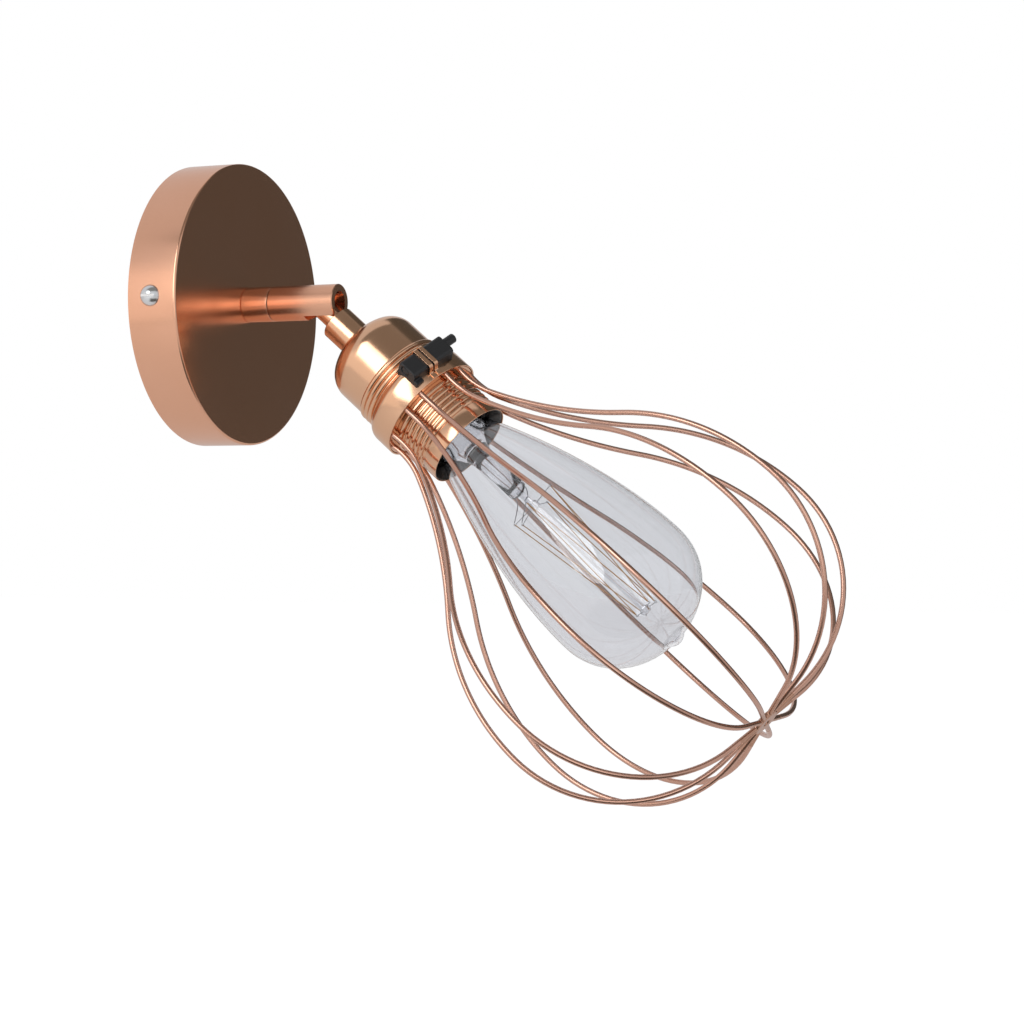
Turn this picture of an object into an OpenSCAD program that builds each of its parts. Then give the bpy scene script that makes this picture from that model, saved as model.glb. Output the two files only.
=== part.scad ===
// Cage wall light with one swivelling, tilting head.
// Origin: centre of the canopy's back plane on the wall. +X points out of the wall, +Y sideways, +Z up.
// All sizes are in millimetres and all angles in degrees.

/* [Canopy] */
// Outer diameter of the round canopy
canopy_d = 120; // [112:1:150]
// Depth of the canopy from the wall to its front face
canopy_depth = 22.5; // [21:0.5:30]
// Thickness of the canopy's metal
canopy_wall = 1.2; // [0.8:0.1:2]
// Radius of the canopy's rounded front edge
canopy_edge_r = 1; // [0.4:0.1:1.4]
// Distance of the side screws from the wall
side_screw_x = 10.5; // [8:0.5:13]
// Thread diameter of the side screws
side_screw_d = 4; // [3:0.5:5]
// Length of a side screw's shank
side_screw_l = 9; // [7:0.5:12]
// Diameter of the side screws' domed head
side_head_d = 9; // [7:0.5:11]
// Height of the side screws' domed head
side_head_h = 3.2; // [2:0.2:4.2]

/* [Wall bracket] */
// Thickness of the bracket's steel
bracket_t = 2; // [1.5:0.1:3]
// Height of the bracket's bar
bracket_w = 22; // [20:1:28]
// Width of the bracket's end tabs
tab_w = 14; // [12:1:18]
// How far the tabs reach beyond the side screws
tab_reach = 5.5; // [4:0.5:7]
// Distance between the centres of the two wall slots
slot_spacing = 60; // [52:1:68]
// End-to-end length of a wall slot
slot_l = 16; // [10:1:20]
// Width of a wall slot
slot_w = 5; // [4:0.5:6]
// Diameter of the cable hole in the middle of the bracket
cable_hole_d = 12; // [9:0.5:15]
// How far the tongue reaches down from the bar's lower edge
tongue_l = 27; // [24:1:34]
// Diameter of the earth screw's thread
earth_screw_d = 4; // [3:0.5:5]

/* [Terminal block] */
// Length of the terminal block along Y
block_l = 30; // [27:1:36]
// Height of the terminal block
block_h = 14; // [12:0.5:18]
// Depth of the terminal block from the bracket
block_d = 13; // [11:0.5:15]
// Distance between neighbouring poles
pole_pitch = 9.5; // [9:0.25:11]

/* [Swivel and arm] */
// Diameter of the arm
arm_d = 15; // [14:0.5:18]
// Distance of the seam between the arm's fixed and turning pieces
seam_x = 35; // [33:0.5:38]
// Distance of the tilt pin from the wall
pivot_x = 55; // [53:0.5:62]
// Length of the arm beyond the tilt pin
arm_nose = 11.3; // [10:0.1:12]
// Diameter of the bore in the arm's open end
arm_bore_d = 9.2; // [8.8:0.1:10]
// Outer diameter of the threaded tube that carries the arm
stud_d = 9.9; // [8:0.1:10.4]
// Bore of the threaded tube
stud_bore_d = 6.8; // [5:0.1:7.2]
// Diameter of the arm's turning spigot
spigot_d = 11; // [10:0.1:11.6]
// Depth of the arm's spigot inside the fixed piece
spigot_l = 6.7; // [6:0.1:8]
// Depth of the groove that the swivel's grub screw runs in
groove_depth = 1; // [0.6:0.1:1.2]
// Width of the groove that the swivel's grub screw runs in
groove_w = 1.6; // [1.2:0.1:2]
// Half angle of the land that stops the swivel
land_half = 7; // [4:0.5:12]
// Radial clearance of the running fits
run_clear = 0.05; // [0.02:0.01:0.1]

/* [Knuckle] */
// Downward tilt of the head, as photographed
head_tilt = 40.5; // [10:0.5:70]
// Greatest downward tilt that the slot allows
tilt_stop = 79; // [72:0.5:84]
// Diameter of the knuckle's rod
rod_d = 8.6; // [8:0.1:9]
// Diameter of the tilt pin
pin_d = 3; // [2.5:0.1:3.4]
// Distance from the tilt pin to the knuckle's shoulder
shoulder_s = 13.2; // [13:0.1:15]
// Width of the channel for the two wires
lead_channel_w = 4.2; // [4:0.1:4.6]
// Diameter of one insulated wire
lead_d = 1.8; // [1.4:0.1:1.9]

/* [Lamp holder] */
// Distance from the tilt pin to the top of the holder's dome
dome_s = 26.1; // [24:0.5:27]
// Diameter of the dome's straight part
dome_d = 41.3; // [41:0.1:44]
// Radius of the dome's crown
dome_crown_r = 29; // [27:0.5:32]
// Radius of the dome's shoulder
dome_shoulder_r = 10; // [8:0.5:11]
// Height of the dome from its top to the joint with the skirt
dome_h = 24.5; // [24:0.5:28]
// Thickness of the holder's metal
holder_wall = 1; // [0.8:0.1:1.05]
// Radius of one of the three beads
bead_r = 1.2; // [0.8:0.1:1.3]
// Distance between neighbouring beads
bead_pitch = 2.3; // [2.2:0.05:2.5]
// Diameter of the skirt at its rim
skirt_d = 48.2; // [48:0.1:51]
// Length of the beaded part above the skirt
bead_zone = 7.3; // [7.2:0.1:8.5]
// Length of the skirt below the beads
skirt_l = 13.6; // [13:0.1:16]
// Radius of the skirt's rounded shoulder
skirt_shoulder_r = 5; // [3.5:0.1:6]
// Thickness of the skirt's metal
skirt_wall = 0.7; // [0.5:0.1:0.9]
// Crest diameter of the threaded sleeve
sleeve_d = 39; // [39:0.1:39.1]
// Depth of the sleeve's round thread
thread_h = 0.9; // [0.6:0.05:0.95]
// Pitch of the sleeve's round thread
thread_pitch = 2.6; // [2.4:0.05:2.7]
// Length of the smooth band at the sleeve's mouth
band_l = 6.9; // [5:0.1:9]
// Outer diameter of the shade ring
shade_ring_d = 40.4; // [40:0.1:41]
// Height of the shade ring
shade_ring_h = 2.8; // [2:0.1:3.2]

/* [Switch] */
// Angle of the switch round the head's axis
switch_phi = 134; // [110:1:150]
// Height of the switch's top above the head's axis
switch_top = 28.2; // [27.5:0.1:30]
// Length of the switch along the head's axis
switch_l = 9.4; // [9:0.1:10.5]
// Reach of the switch to its open side
switch_right = 12; // [10:0.1:13]
// Reach of the switch to its pressed side
switch_left = 10; // [9:0.1:11]
// Rounding of the switch's upper edges
switch_edge_r = 1.6; // [1:0.1:3]
// Diameter of the push bar
bar_d = 4; // [3.6:0.1:5]
// How far the push bar stands out
bar_out = 5.6; // [4:0.1:7]
// Width of the saddle over the switch
saddle_w = 4.6; // [3.5:0.1:6]
// Thickness of the saddle's metal
saddle_t = 0.6; // [0.5:0.05:0.8]

/* [Cage] */
// Diameter of the cage's wires
wire_d = 2.2; // [1.6:0.1:2.2]
// Radius at which the wires leave the collar
wire_root_r = 22.1; // [22:0.02:22.2]
// Angle between the first pair of wires and the sideways direction
cage_phi = 50.5; // [0:0.5:59]
// Half the angle between the two wires of a pair
pair_half = 11.7; // [6:0.1:15]
// Angle of the wires where they leave the collar
wire_start_angle = -8.5; // [-10:0.1:-6]
// Radius of the bend at the cage's neck
neck_arc_r = 33.6; // [30:0.1:38]
// Angle of the wires after the neck
neck_end_angle = 22.5; // [19:0.5:25]
// Radius of the long flank's bend
flank_arc_r = 188; // [170:1:205]
// Angle of the wires at the end of the flank
flank_end_angle = 40.9; // [38:0.1:43]
// Radius of the bend at the cage's belly
belly_arc_r = 97.3; // [92:0.1:102]
// Radius of the bend at the cage's end
end_arc_r = 58.4; // [54:0.1:62]
// Radius of the welded disc that joins the wires at the tip
hub_r = 6; // [5.5:0.1:8]
// Diameter of the hole in the welded disc
hub_hole_d = 3; // [2:0.1:5]
// Radius within which the wires' ends belong to the welded tip
hub_reach = 16; // [12:0.5:20]

/* [Bulb] */
// Greatest diameter of the bulb's glass
bulb_d = 66.2; // [55:0.2:72]
// Length of the glass from the cap to its widest place
bulb_flank = 91.5; // [80:0.5:96]
// Length of the glass's rounded end
bulb_crown = 31; // [26:0.5:36]
// Diameter of the glass where it enters the cap
bulb_neck_d = 26; // [25:0.1:26.6]
// Thickness of the bulb's glass
glass_t = 0.9; // [0.6:0.1:1.4]
// Diameter of the bulb's screw cap over its thread
cap_d = 26.2; // [25.8:0.05:26.4]
// Length of the bulb's cap with its contact
cap_l = 27; // [26:0.1:27.5]
// Length of the filament's cage
filament_l = 64; // [50:1:68]
// Radius of the filament's upper supports
filament_top_r = 11; // [8:0.5:14]
// Radius of the filament's lower supports
filament_low_r = 5.5; // [4:0.5:8]

/* [Hidden] */
$fn = 72;
eps = 0.02;
fit = 0.05;          // radial clearance of threads and seats between fixed pieces
gap = 0.3;           // clearance between pieces that move past each other
swell = 0.04;        // swelling of a wire where two of its bends meet
canopy_r = canopy_d / 2;
canopy_ri = canopy_r - canopy_wall;
front_in = canopy_depth - canopy_wall;
tab_y = sqrt(canopy_ri * canopy_ri - tab_w * tab_w / 4) - 0.4;
tab_end = side_screw_x + tab_reach;
bar_half = canopy_ri - 9;
block_z = -bracket_w / 2 - tongue_l + block_h / 2 + 3;
block_x = bracket_t;
block_mid = block_x + block_d / 2;   // plane of the block's wire bores
block_front = block_x + block_d;
block_bore_r = 1.7;
block_screw_r = 1.5;
block_head_r = 2.75;
block_head_x = block_front - 3;      // seat of the screws that hold the block
clamp_r = 1.45;
earth_y = 14;                        // place of the earth screw on the bracket
earth_z = 5.5;
earth_washer_t = 0.8;
earth_head_t = 2.4;
stud_r = stud_d / 2;
stud_bore_r = stud_bore_d / 2;
nut_t = 5;
nut_af = 14;
washer_t = 1.2;
washer_r = 10;
dome_nut_t = 4;
washer_x = front_in - washer_t;
nut_x = washer_x - nut_t;
stud_x0 = nut_x - 3;
arm_r = arm_d / 2;
spigot_r = spigot_d / 2;
turn_x = seam_x + gap;               // first face of the turning arm
spigot_x = seam_x - spigot_l;        // end of the spigot
stud_x1 = spigot_x - gap;            // end of the threaded tube
groove_x = seam_x - 3.5;
grub_r = 1.45;
arm_end = pivot_x + arm_nose;
arm_bore_r = arm_bore_d / 2;
rod_r = rod_d / 2;
pin_r = pin_d / 2;
pin_head_r = 2.2;
pin_head_t = 1.6;
pin_blind = 1.2;
nose_r = shoulder_s - 0.8;
dome_washer_r = nut_af / 2 + 0.2;
lead_r = lead_d / 2;
lead_y = lead_r + 0.1;
lead_floor = 2.3;
lead_z = lead_floor + lead_r + 0.02;
nipple_s = shoulder_s + 4;
dome_r = dome_d / 2;
dome_end = dome_s + dome_h;
crown_c = dome_s - 1 + dome_crown_r;
shoulder_dir = dome_r - dome_shoulder_r;
crown_gap = dome_crown_r - dome_shoulder_r;
shoulder_c = crown_c - sqrt(crown_gap * crown_gap - shoulder_dir * shoulder_dir);
collar_l = 7;
collar_r = dome_r - holder_wall - fit;
collar_ri = collar_r - 1;
bead_base_r = dome_r - 0.35;
seat_s = dome_end + 1;
skirt_s = dome_end + bead_zone;
skirt_r = skirt_d / 2;
rim_s = skirt_s + skirt_l;
bell_c = skirt_r - skirt_shoulder_r;
sleeve_r = sleeve_d / 2;
root_r = sleeve_r - thread_h;
sleeve_ri = root_r - 1.4;
sleeve_seat_r = collar_ri + 0.55;
thread_n = 5;
thread_s = rim_s + 3.8;
band_s = thread_s + (thread_n - 1) * thread_pitch + 1.7;
mouth_s = band_s + band_l;
band_r = sleeve_r - 0.17;
ring_top_s = rim_s - 0.3;            // lower face of the cage's collar
cage_collar_t = 1.2;
collar_s = ring_top_s - cage_collar_t;
cage_collar_r = skirt_r - skirt_wall - 0.1;
cage_collar_ri = sleeve_r + 0.1;
flange_r = cage_collar_ri + 1.9;
shade_ring_r = shade_ring_d / 2;
liner_r = sleeve_ri - fit;
floor_s = seat_s + 7;
floor_t = 4;
rivet_r = 1.2;
rivet_y = 10;                        // place of the outer terminal's rivet
outer_lead_y = 9;
cap_r = cap_d / 2;
shell_ri = cap_r + 0.25;
shell_t = 0.4;
shell_s = floor_s + floor_t;
contact_h = 1.5;
bulb_s = shell_s + contact_h;        // tip of the bulb's contact
glass_s = bulb_s + cap_l;            // where the glass leaves the cap
shell_end = glass_s - 4.5;
liner_bore_r = liner_r - 1.25;
liner_end = mouth_s - 0.4;
liner_step_s = mouth_s - 6;          // where the liner widens to its funnel
sleeve_mouth_r = band_r - 0.4;
liner_mouth_r = sleeve_mouth_r - fit;
liner_lip = 0.4;
bulb_r = bulb_d / 2;
neck_r = bulb_neck_d / 2;
switch_s = skirt_s + 0.3;
switch_end = switch_s + switch_l;
switch_mid = switch_s + switch_l / 2;
switch_floor = root_r + 0.6;
switch_seat = liner_r - 1.35;
key_half = 4;                        // half width of the key that holds the switch in the liner
key_end = 1.4;                       // from the switch's ends to the key's
toe_edge = 6;                        // side of the switch's toe beside the saddle
bar_n = switch_top - bar_d / 2 - 0.7;
bar_s = switch_mid - 1;              // the bar lies nearer to the dome
bar_r = bar_d / 2;
toe_s = rim_s - 1.9;
toe_n = skirt_r + 0.3;
toe_floor = flange_r + 0.1;
wire_r = wire_d / 2;
wire_clip = 2 * cage_collar_r;       // box that trims the wires at the collar
stem_l = 41.5;                       // from the cap to the stem's upper button
stem_top = glass_s + stem_l;
stem_rod_r = 1.3;
button_r = 2.3;
button_h = 3;
support_r = 0.25;
pinch_s = glass_s + 25;              // flat press at the stem's end
pip_r = 5.5;                         // sealed tip of the glass
rod_low = stem_top + filament_l;

// Cage curve: travel direction turns from the start angle to the end of the belly
function turn(c, r, a, side) = [c[0] - side * r * sin(a), c[1] + side * r * cos(a)];
c1 = turn([ring_top_s, wire_root_r], neck_arc_r, wire_start_angle, 1);
p1 = turn(c1, neck_arc_r, neck_end_angle, -1);
c2 = turn(p1, flank_arc_r, neck_end_angle, 1);
p2 = turn(c2, flank_arc_r, flank_end_angle, -1);
c3 = turn(p2, belly_arc_r, flank_end_angle, -1);
p3 = turn(c3, belly_arc_r, 0, 1);
c4 = turn(p3, end_arc_r, 0, -1);
tip_s = c4[0] + end_arc_r;
tip_r = c4[1];

// Bulb outline: half widths along the flank and the crown, inset by t
flank_n = 22;
crown_n = 14;
function flank_r(u, t) = neck_r - t + (bulb_r - neck_r) * (1 - pow(1 - u, 1.8));
function flank_pts(t) = [for (i = [0:flank_n - 1])
    [flank_r(i / flank_n, t), glass_s + bulb_flank * i / flank_n]];
function crown_v(i) = sin(90 * i / crown_n);
function crown_pts(t) = [for (i = [0:crown_n])
    [(bulb_r - t) * sqrt(max(0, 1 - pow(crown_v(i), 2.2))),
        glass_s + bulb_flank + (bulb_crown - t) * crown_v(i)]];
function glass_pts(t) = concat([[0, glass_s]], flank_pts(t), crown_pts(t));

// Placing: local z runs along the named direction
module along_x(x) { translate([x, 0, 0]) rotate([0, 90, 0]) children(); }
module along_y(y) { translate([0, y, 0]) rotate([-90, 0, 0]) children(); }
module head() { translate([pivot_x, 0, 0]) rotate([0, 90 + head_tilt, 0]) children(); }
module at_phi(phi) { rotate([0, 0, phi + 90]) children(); }
module at_switch() { head() at_phi(switch_phi) children(); }
module side_slab(w) { rotate([90, 0, 0]) linear_extrude(w, center = true) children(); }
module band(r0, r1, s0, s1) { translate([r0, s0]) square([r1 - r0, s1 - s0]); }
module tube(r0, r1, h) {
    difference() {
        cylinder(r = r1, h = h);
        translate([0, 0, -1]) cylinder(r = r0, h = h + 2);
    }
}
module run(a, b, r) {
    d = b - a;
    l = norm(d);
    translate(a) rotate([0, acos(d[2] / l), atan2(d[1], d[0])]) cylinder(r = r, h = l, $fn = 24);
}
module bend(p, r) { translate(p) rotate([90, 0, 0]) sphere(r = r + swell, $fn = 24); }
// A lead of straight runs, each but the last reaching a little past its corner
module plain_lead(p, r) {
    for (i = [0:len(p) - 2]) {
        way = (p[i + 1] - p[i]) / norm(p[i + 1] - p[i]);
        run(p[i], p[i + 1] + way * ((i < len(p) - 2) ? 0.4 : 0), r);
    }
}
module lead(p, r) {
    for (i = [0:len(p) - 2]) run(p[i], p[i + 1], r);
    for (i = [1:1:len(p) - 2]) bend(p[i], r);
}

// Canopy: a turned cup, open to the wall
module canopy() {
    color("#cd8f6e") difference() {
        along_x(0) rotate_extrude() difference() {
            union() {
                band(0, canopy_r, 0, canopy_depth - canopy_edge_r);
                band(0, canopy_r - canopy_edge_r, 0, canopy_depth);
                translate([canopy_r - canopy_edge_r, canopy_depth - canopy_edge_r])
                    circle(r = canopy_edge_r);
            }
            band(-1, canopy_ri, -1, front_in);
            translate([-canopy_r - 2, -1]) square([canopy_r + 2, canopy_depth + 2]);
        }
        along_x(front_in - 1) cylinder(r = stud_r + 0.15, h = canopy_wall + 2);
        translate([side_screw_x, 0, 0]) along_y(-canopy_r - 1)
            cylinder(d = side_screw_d + 0.4, h = canopy_d + 2);
    }
}

module slot_cut(y) {
    half = (slot_l - slot_w) / 2;
    translate([-1, y - half, 0]) rotate([0, 90, 0]) cylinder(d = slot_w, h = bracket_t + 2);
    translate([-1, y + half, 0]) rotate([0, 90, 0]) cylinder(d = slot_w, h = bracket_t + 2);
    translate([-1, y - half, -slot_w / 2]) cube([bracket_t + 2, 2 * half, slot_w]);
}

module wall_bracket() {
    tongue_z = -bracket_w / 2 - tongue_l;
    color("#b8b8b4") difference() {
        union() {
            translate([0, -bar_half, -bracket_w / 2]) cube([bracket_t, 2 * bar_half, bracket_w]);
            translate([0, -tab_y, -tab_w / 2]) cube([bracket_t, 2 * tab_y, tab_w]);
            translate([0, -bracket_w / 2, tongue_z]) cube([bracket_t, bracket_w, tongue_l + bracket_w / 2]);
            translate([0, tab_y - bracket_t, -tab_w / 2]) cube([tab_end, bracket_t, tab_w]);
            translate([0, -tab_y, -tab_w / 2]) cube([tab_end, bracket_t, tab_w]);
        }
        slot_cut(slot_spacing / 2);
        slot_cut(-slot_spacing / 2);
        along_x(-1) cylinder(d = cable_hole_d, h = bracket_t + 2);
        translate([side_screw_x, 0, 0]) along_y(-canopy_r)
            cylinder(r = side_screw_d / 2 + fit, h = canopy_d);
        for (y = [-pole_pitch / 2, pole_pitch / 2])
            translate([0, y, block_z]) along_x(-1) cylinder(r = block_screw_r + fit, h = bracket_t + 2);
        translate([0, earth_y, earth_z]) along_x(-1)
            cylinder(r = earth_screw_d / 2 + fit, h = bracket_t + 2);
    }
}

module side_screw() {
    ball = (side_head_d * side_head_d / 4 + side_head_h * side_head_h) / (2 * side_head_h);
    difference() {
        union() {
            translate([0, 0, -side_screw_l]) cylinder(d = side_screw_d, h = side_screw_l + eps);
            intersection() {
                translate([0, 0, side_head_h - ball]) sphere(r = ball);
                cylinder(d = side_head_d + 1, h = side_head_h + 1);
            }
        }
        translate([-side_head_d, -0.5, side_head_h - 1.1]) cube([2 * side_head_d, 1, 3]);
    }
}
module canopy_screws() {
    color("#d8d8d8") for (m = [0, 1]) mirror([0, m, 0])
        translate([side_screw_x, canopy_r, 0]) rotate([-90, 0, 0]) side_screw();
}

module pole_spots() {
    for (i = [-1:1]) translate([0, i * pole_pitch, 0]) children();
}
module terminal_block() {
    color("#e9e6dc") difference() {
        translate([block_x, -block_l / 2, block_z - block_h / 2]) cube([block_d, block_l, block_h]);
        pole_spots() translate([block_mid, 0, block_z - block_h]) cylinder(r = block_bore_r, h = 2 * block_h);
        pole_spots() for (z = [-block_h / 4, block_h / 4])
            translate([block_mid, 0, block_z + z]) rotate([0, 90, 0])
            cylinder(r = clamp_r + fit, h = block_d);
        for (y = [-pole_pitch / 2, pole_pitch / 2]) translate([0, y, block_z]) {
            along_x(0) cylinder(r = block_screw_r + fit, h = block_d + 10);
            along_x(block_head_x) cylinder(r = block_head_r + fit, h = 10);
        }
    }
}
module block_screws() {
    color("#c9c9c4") for (y = [-pole_pitch / 2, pole_pitch / 2]) translate([0, y, block_z]) {
        difference() {
            union() {
                along_x(0.3) cylinder(r = block_screw_r, h = block_head_x - 0.3 + eps);
                along_x(block_head_x) cylinder(r = block_head_r, h = 1.8);
            }
            translate([block_head_x + 1.1, -0.3, -block_head_r - 1])
                cube([2, 0.6, 2 * block_head_r + 2]);
        }
    }
}
module terminal_screws() {
    color("#c9c9c4") pole_spots() for (z = [-block_h / 4, block_h / 4])
        translate([0, 0, block_z + z]) difference() {
            along_x(block_mid + lead_r + fit) cylinder(r = clamp_r, h = block_d / 2 - lead_r - fit - 0.6);
            translate([block_front - 1.3, -0.25, -clamp_r - 0.55]) cube([2, 0.5, 2 * clamp_r + 1.1]);
        }
}
module earth_screw() {
    head_x = bracket_t + earth_washer_t;
    color("#c8a24a") translate([0, earth_y, earth_z]) difference() {
        union() {
            along_x(0.2) cylinder(d = earth_screw_d, h = bracket_t + 1);
            along_x(head_x) cylinder(d = earth_screw_d + 3.6, h = earth_head_t);
        }
        translate([head_x + 1.4, -0.5, -earth_screw_d - 2]) cube([2, 1, 2 * earth_screw_d + 4]);
    }
}
module earth_washer() {
    color("#c8a24a") translate([0, earth_y, earth_z]) along_x(bracket_t)
        tube(earth_screw_d / 2 + 0.1, earth_screw_d / 2 + 2.6, earth_washer_t);
}
module canopy_leads() {
    color("#7a4a2a") for (m = [-1, 1]) {
        lead([[block_mid, m * pole_pitch, block_z], [block_mid, m * pole_pitch, block_z + block_h + 1],
            [block_mid - 1, m * lead_y, -4], [block_mid, m * lead_y, 0], [stud_x1, m * lead_y, 0]], lead_r);
    }
}
module earth_lead() {
    x = bracket_t + 1.6;
    top = block_z + block_h / 2;
    color("#5f9a3c") lead([[block_mid, 0, block_z], [block_mid, 0, top + 1.5],
        [x, earth_y / 4, top + 5], [x, earth_y, earth_z - 8.5], [x, earth_y, earth_z - 3.9]], lead_r - 0.1);
}
module swivel_stud() {
    color("#c8a24a") along_x(stud_x0) tube(stud_bore_r, stud_r, stud_x1 - stud_x0);
}
module hex_nut(af, h, r) {
    difference() {
        cylinder(r = af / sqrt(3), h = h, $fn = 6);
        translate([0, 0, -1]) cylinder(r = r, h = h + 2);
    }
}
module stud_nut() { color("#b8b8b4") along_x(nut_x) hex_nut(nut_af, nut_t, stud_r + fit); }
module stud_washer() { color("#b8b8b4") along_x(washer_x) tube(stud_r + 0.15, washer_r, washer_t); }

module arm_base() {
    color("#cd8f6e") difference() {
        along_x(0) rotate_extrude() difference() {
            polygon([[0, canopy_depth], [arm_r - 0.4, canopy_depth], [arm_r, canopy_depth + 0.4],
                [arm_r, seam_x - 0.2], [arm_r - 0.2, seam_x], [0, seam_x]]);
            band(-1, stud_r + fit, canopy_depth - 1, stud_x1 + eps);
            band(-1, spigot_r + run_clear, stud_x1, seam_x + 1);
        }
        translate([groove_x, 0, 0]) mirror([0, 0, 1]) cylinder(r = grub_r + fit, h = arm_d);
    }
}
module swivel_grub() {
    color("#2c2c2c") translate([groove_x, 0, 0]) mirror([0, 0, 1]) difference() {
        union() {
            translate([0, 0, spigot_r + 0.25]) cylinder(r = grub_r, h = arm_r - spigot_r - 0.45);
            translate([0, 0, spigot_r - groove_depth + 0.15])
                cylinder(r = groove_w / 2 - 0.1, h = groove_depth + 0.3);
        }
        translate([0, 0, arm_r - 1.2]) cylinder(r = 0.85, h = 2, $fn = 6);
    }
}
module swivel_groove() {
    along_x(groove_x - groove_w / 2) rotate([0, 0, 180 + land_half])
        rotate_extrude(angle = 360 - 2 * land_half)
        translate([spigot_r - groove_depth, 0]) square([groove_depth + 1, groove_w]);
}
module tilt_slot() {
    a = tilt_stop;
    reach = 2 * arm_d;
    side_slab(arm_bore_d - 0.1)
        polygon([[0, 0], [-arm_bore_r, 0], [-arm_bore_r * sin(a), -arm_bore_r * cos(a)],
            [-arm_bore_r * sin(a) + reach * cos(a), -arm_bore_r * cos(a) - reach * sin(a)],
            [arm_nose + 8, -reach], [arm_nose + 8, 0]]);
}
module arm_clevis() {
    color("#cd8f6e") difference() {
        intersection() {
            along_x(0) rotate_extrude() difference() {
                union() {
                    polygon([[0, turn_x], [arm_r - 0.2, turn_x], [arm_r, turn_x + 0.2],
                        [arm_r, arm_end - 0.3], [arm_r - 0.3, arm_end], [0, arm_end]]);
                    band(0, spigot_r, spigot_x, turn_x + 1);
                }
                band(-1, stud_bore_r, spigot_x - 1, turn_x + 4);
                band(-1, arm_bore_r, turn_x + 2, arm_end + 1);
            }
            union() {
                translate([0, -arm_d, -arm_d]) cube([pivot_x, 2 * arm_d, 2 * arm_d]);
                translate([0, -arm_d, 0]) cube([arm_end + 5, 2 * arm_d, arm_d]);
                translate([pivot_x, 0, 0]) along_y(-arm_d) cylinder(r = nose_r, h = 2 * arm_d);
            }
        }
        swivel_groove();
        translate([pivot_x, 0, 0]) tilt_slot();
        translate([pivot_x, 0, 0]) along_y(pin_blind - arm_r) cylinder(r = pin_r + 0.01, h = arm_d + 2);
        translate([pivot_x, 0, 0]) along_y(arm_r - pin_head_t - 0.3) cylinder(r = pin_head_r + fit, h = 4);
    }
}
module pivot_pin() {
    head_y = arm_r - pin_head_t - 0.3;
    color("#b98563") translate([pivot_x, 0, 0]) difference() {
        union() {
            along_y(pin_blind - arm_r + 0.05) cylinder(r = pin_r, h = head_y + arm_r - pin_blind);
            along_y(head_y) cylinder(r = pin_head_r, h = pin_head_t);
        }
        rotate([0, 35, 0]) translate([-4, head_y + pin_head_t - 0.6, -0.3]) cube([8, 2, 0.6]);
    }
}
module arm_leads() {
    color("#7a4a2a") for (m = [-1, 1])
        run([stud_x1 + 0.1, m * lead_y, 0], [pivot_x - 0.4, m * lead_y, lead_z], lead_r);
}

// Head pieces: local z is the distance s from the tilt pin along the head's axis, local -x is its top
module knuckle_tongue() {
    color("#cd8f6e") head() difference() {
        union() {
            sphere(r = rod_r);
            cylinder(r = rod_r, h = shoulder_s + 1);
            rotate_extrude() polygon([[0, shoulder_s], [arm_r - 0.4, shoulder_s], [arm_r, shoulder_s + 0.4],
                [arm_r, dome_s], [0, dome_s]]);
        }
        along_y(-arm_r) cylinder(r = pin_r + run_clear, h = arm_d);
        difference() {
            translate([-arm_r, -lead_channel_w / 2, -arm_r]) cube([arm_r + 4, lead_channel_w, arm_r]);
            along_y(-arm_r) cylinder(r = lead_floor, h = arm_d);
        }
        translate([-arm_r, -lead_channel_w / 2, -1])
            cube([arm_r - lead_floor, lead_channel_w, shoulder_s - 1.2 + 1]);
        translate([-lead_z - lead_r - 0.1, -lead_channel_w / 2, shoulder_s - 3])
            cube([lead_z + lead_r + 0.1, lead_channel_w, 7.1]);
        translate([0, 0, shoulder_s - 2]) cylinder(r = 3, h = 7);
        translate([0, 0, nipple_s]) cylinder(r = stud_r + fit, h = 10);
    }
}
module cord_nipple() {
    color("#c8a24a") head() translate([0, 0, nipple_s + 0.1])
        tube(stud_bore_r, stud_r, dome_s - nipple_s + holder_wall + washer_t + dome_nut_t + 1.4);
}
module dome_washer() {
    color("#b8b8b4") head() translate([0, 0, dome_s + holder_wall])
        tube(stud_r + 0.1, dome_washer_r, washer_t);
}
module dome_nut() {
    color("#b8b8b4") head() translate([0, 0, dome_s + holder_wall + washer_t])
        hex_nut(nut_af, dome_nut_t, stud_r + fit);
}
module head_leads() {
    bend_s = shoulder_s - 0.7;
    term_s = floor_s - 3;
    lead_start = 0.6;
    color("#7a4a2a") head() {
        plain_lead([[-lead_z, -lead_y, lead_start], [-lead_z, -lead_y, bend_s], [0, -lead_y, bend_s + 5.5],
            [0, -lead_y, term_s]], lead_r);
        plain_lead([[-lead_z, lead_y, lead_start], [-lead_z, lead_y, bend_s], [0, lead_y, bend_s + 5.5],
            [0, lead_y, dome_s + 14], [0, outer_lead_y, dome_s + 22],
            [0, outer_lead_y, term_s]], lead_r);
    }
}

// Outline of the dome, inset by w
module dome_shape(w) {
    rc = dome_crown_r - w;
    rs = dome_shoulder_r - w;
    tx = shoulder_dir / crown_gap;
    ty = (shoulder_c - crown_c) / crown_gap;
    intersection() {
        translate([0, crown_c]) circle(r = rc, $fn = 144);
        polygon([[0, crown_c], [0, crown_c - 2 * rc], [2 * rc * tx, crown_c + 2 * rc * ty]]);
    }
    translate([shoulder_dir, shoulder_c]) circle(r = rs);
    polygon([[0, dome_end + 1], [0, crown_c - rc + 3], [rc * tx, crown_c + rc * ty],
        [shoulder_dir, shoulder_c], [dome_r - w, shoulder_c], [dome_r - w, dome_end + 1]]);
}
module holder_dome() {
    color("#cd8f6e") head() rotate_extrude() difference() {
        intersection() {
            dome_shape(0);
            band(0, canopy_d, dome_s, dome_end);
        }
        intersection() {
            dome_shape(holder_wall);
            band(-1, canopy_d, dome_s + holder_wall, dome_end + 2);
        }
        band(-1, stud_r + 0.15, 0, dome_end);
    }
}
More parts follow.
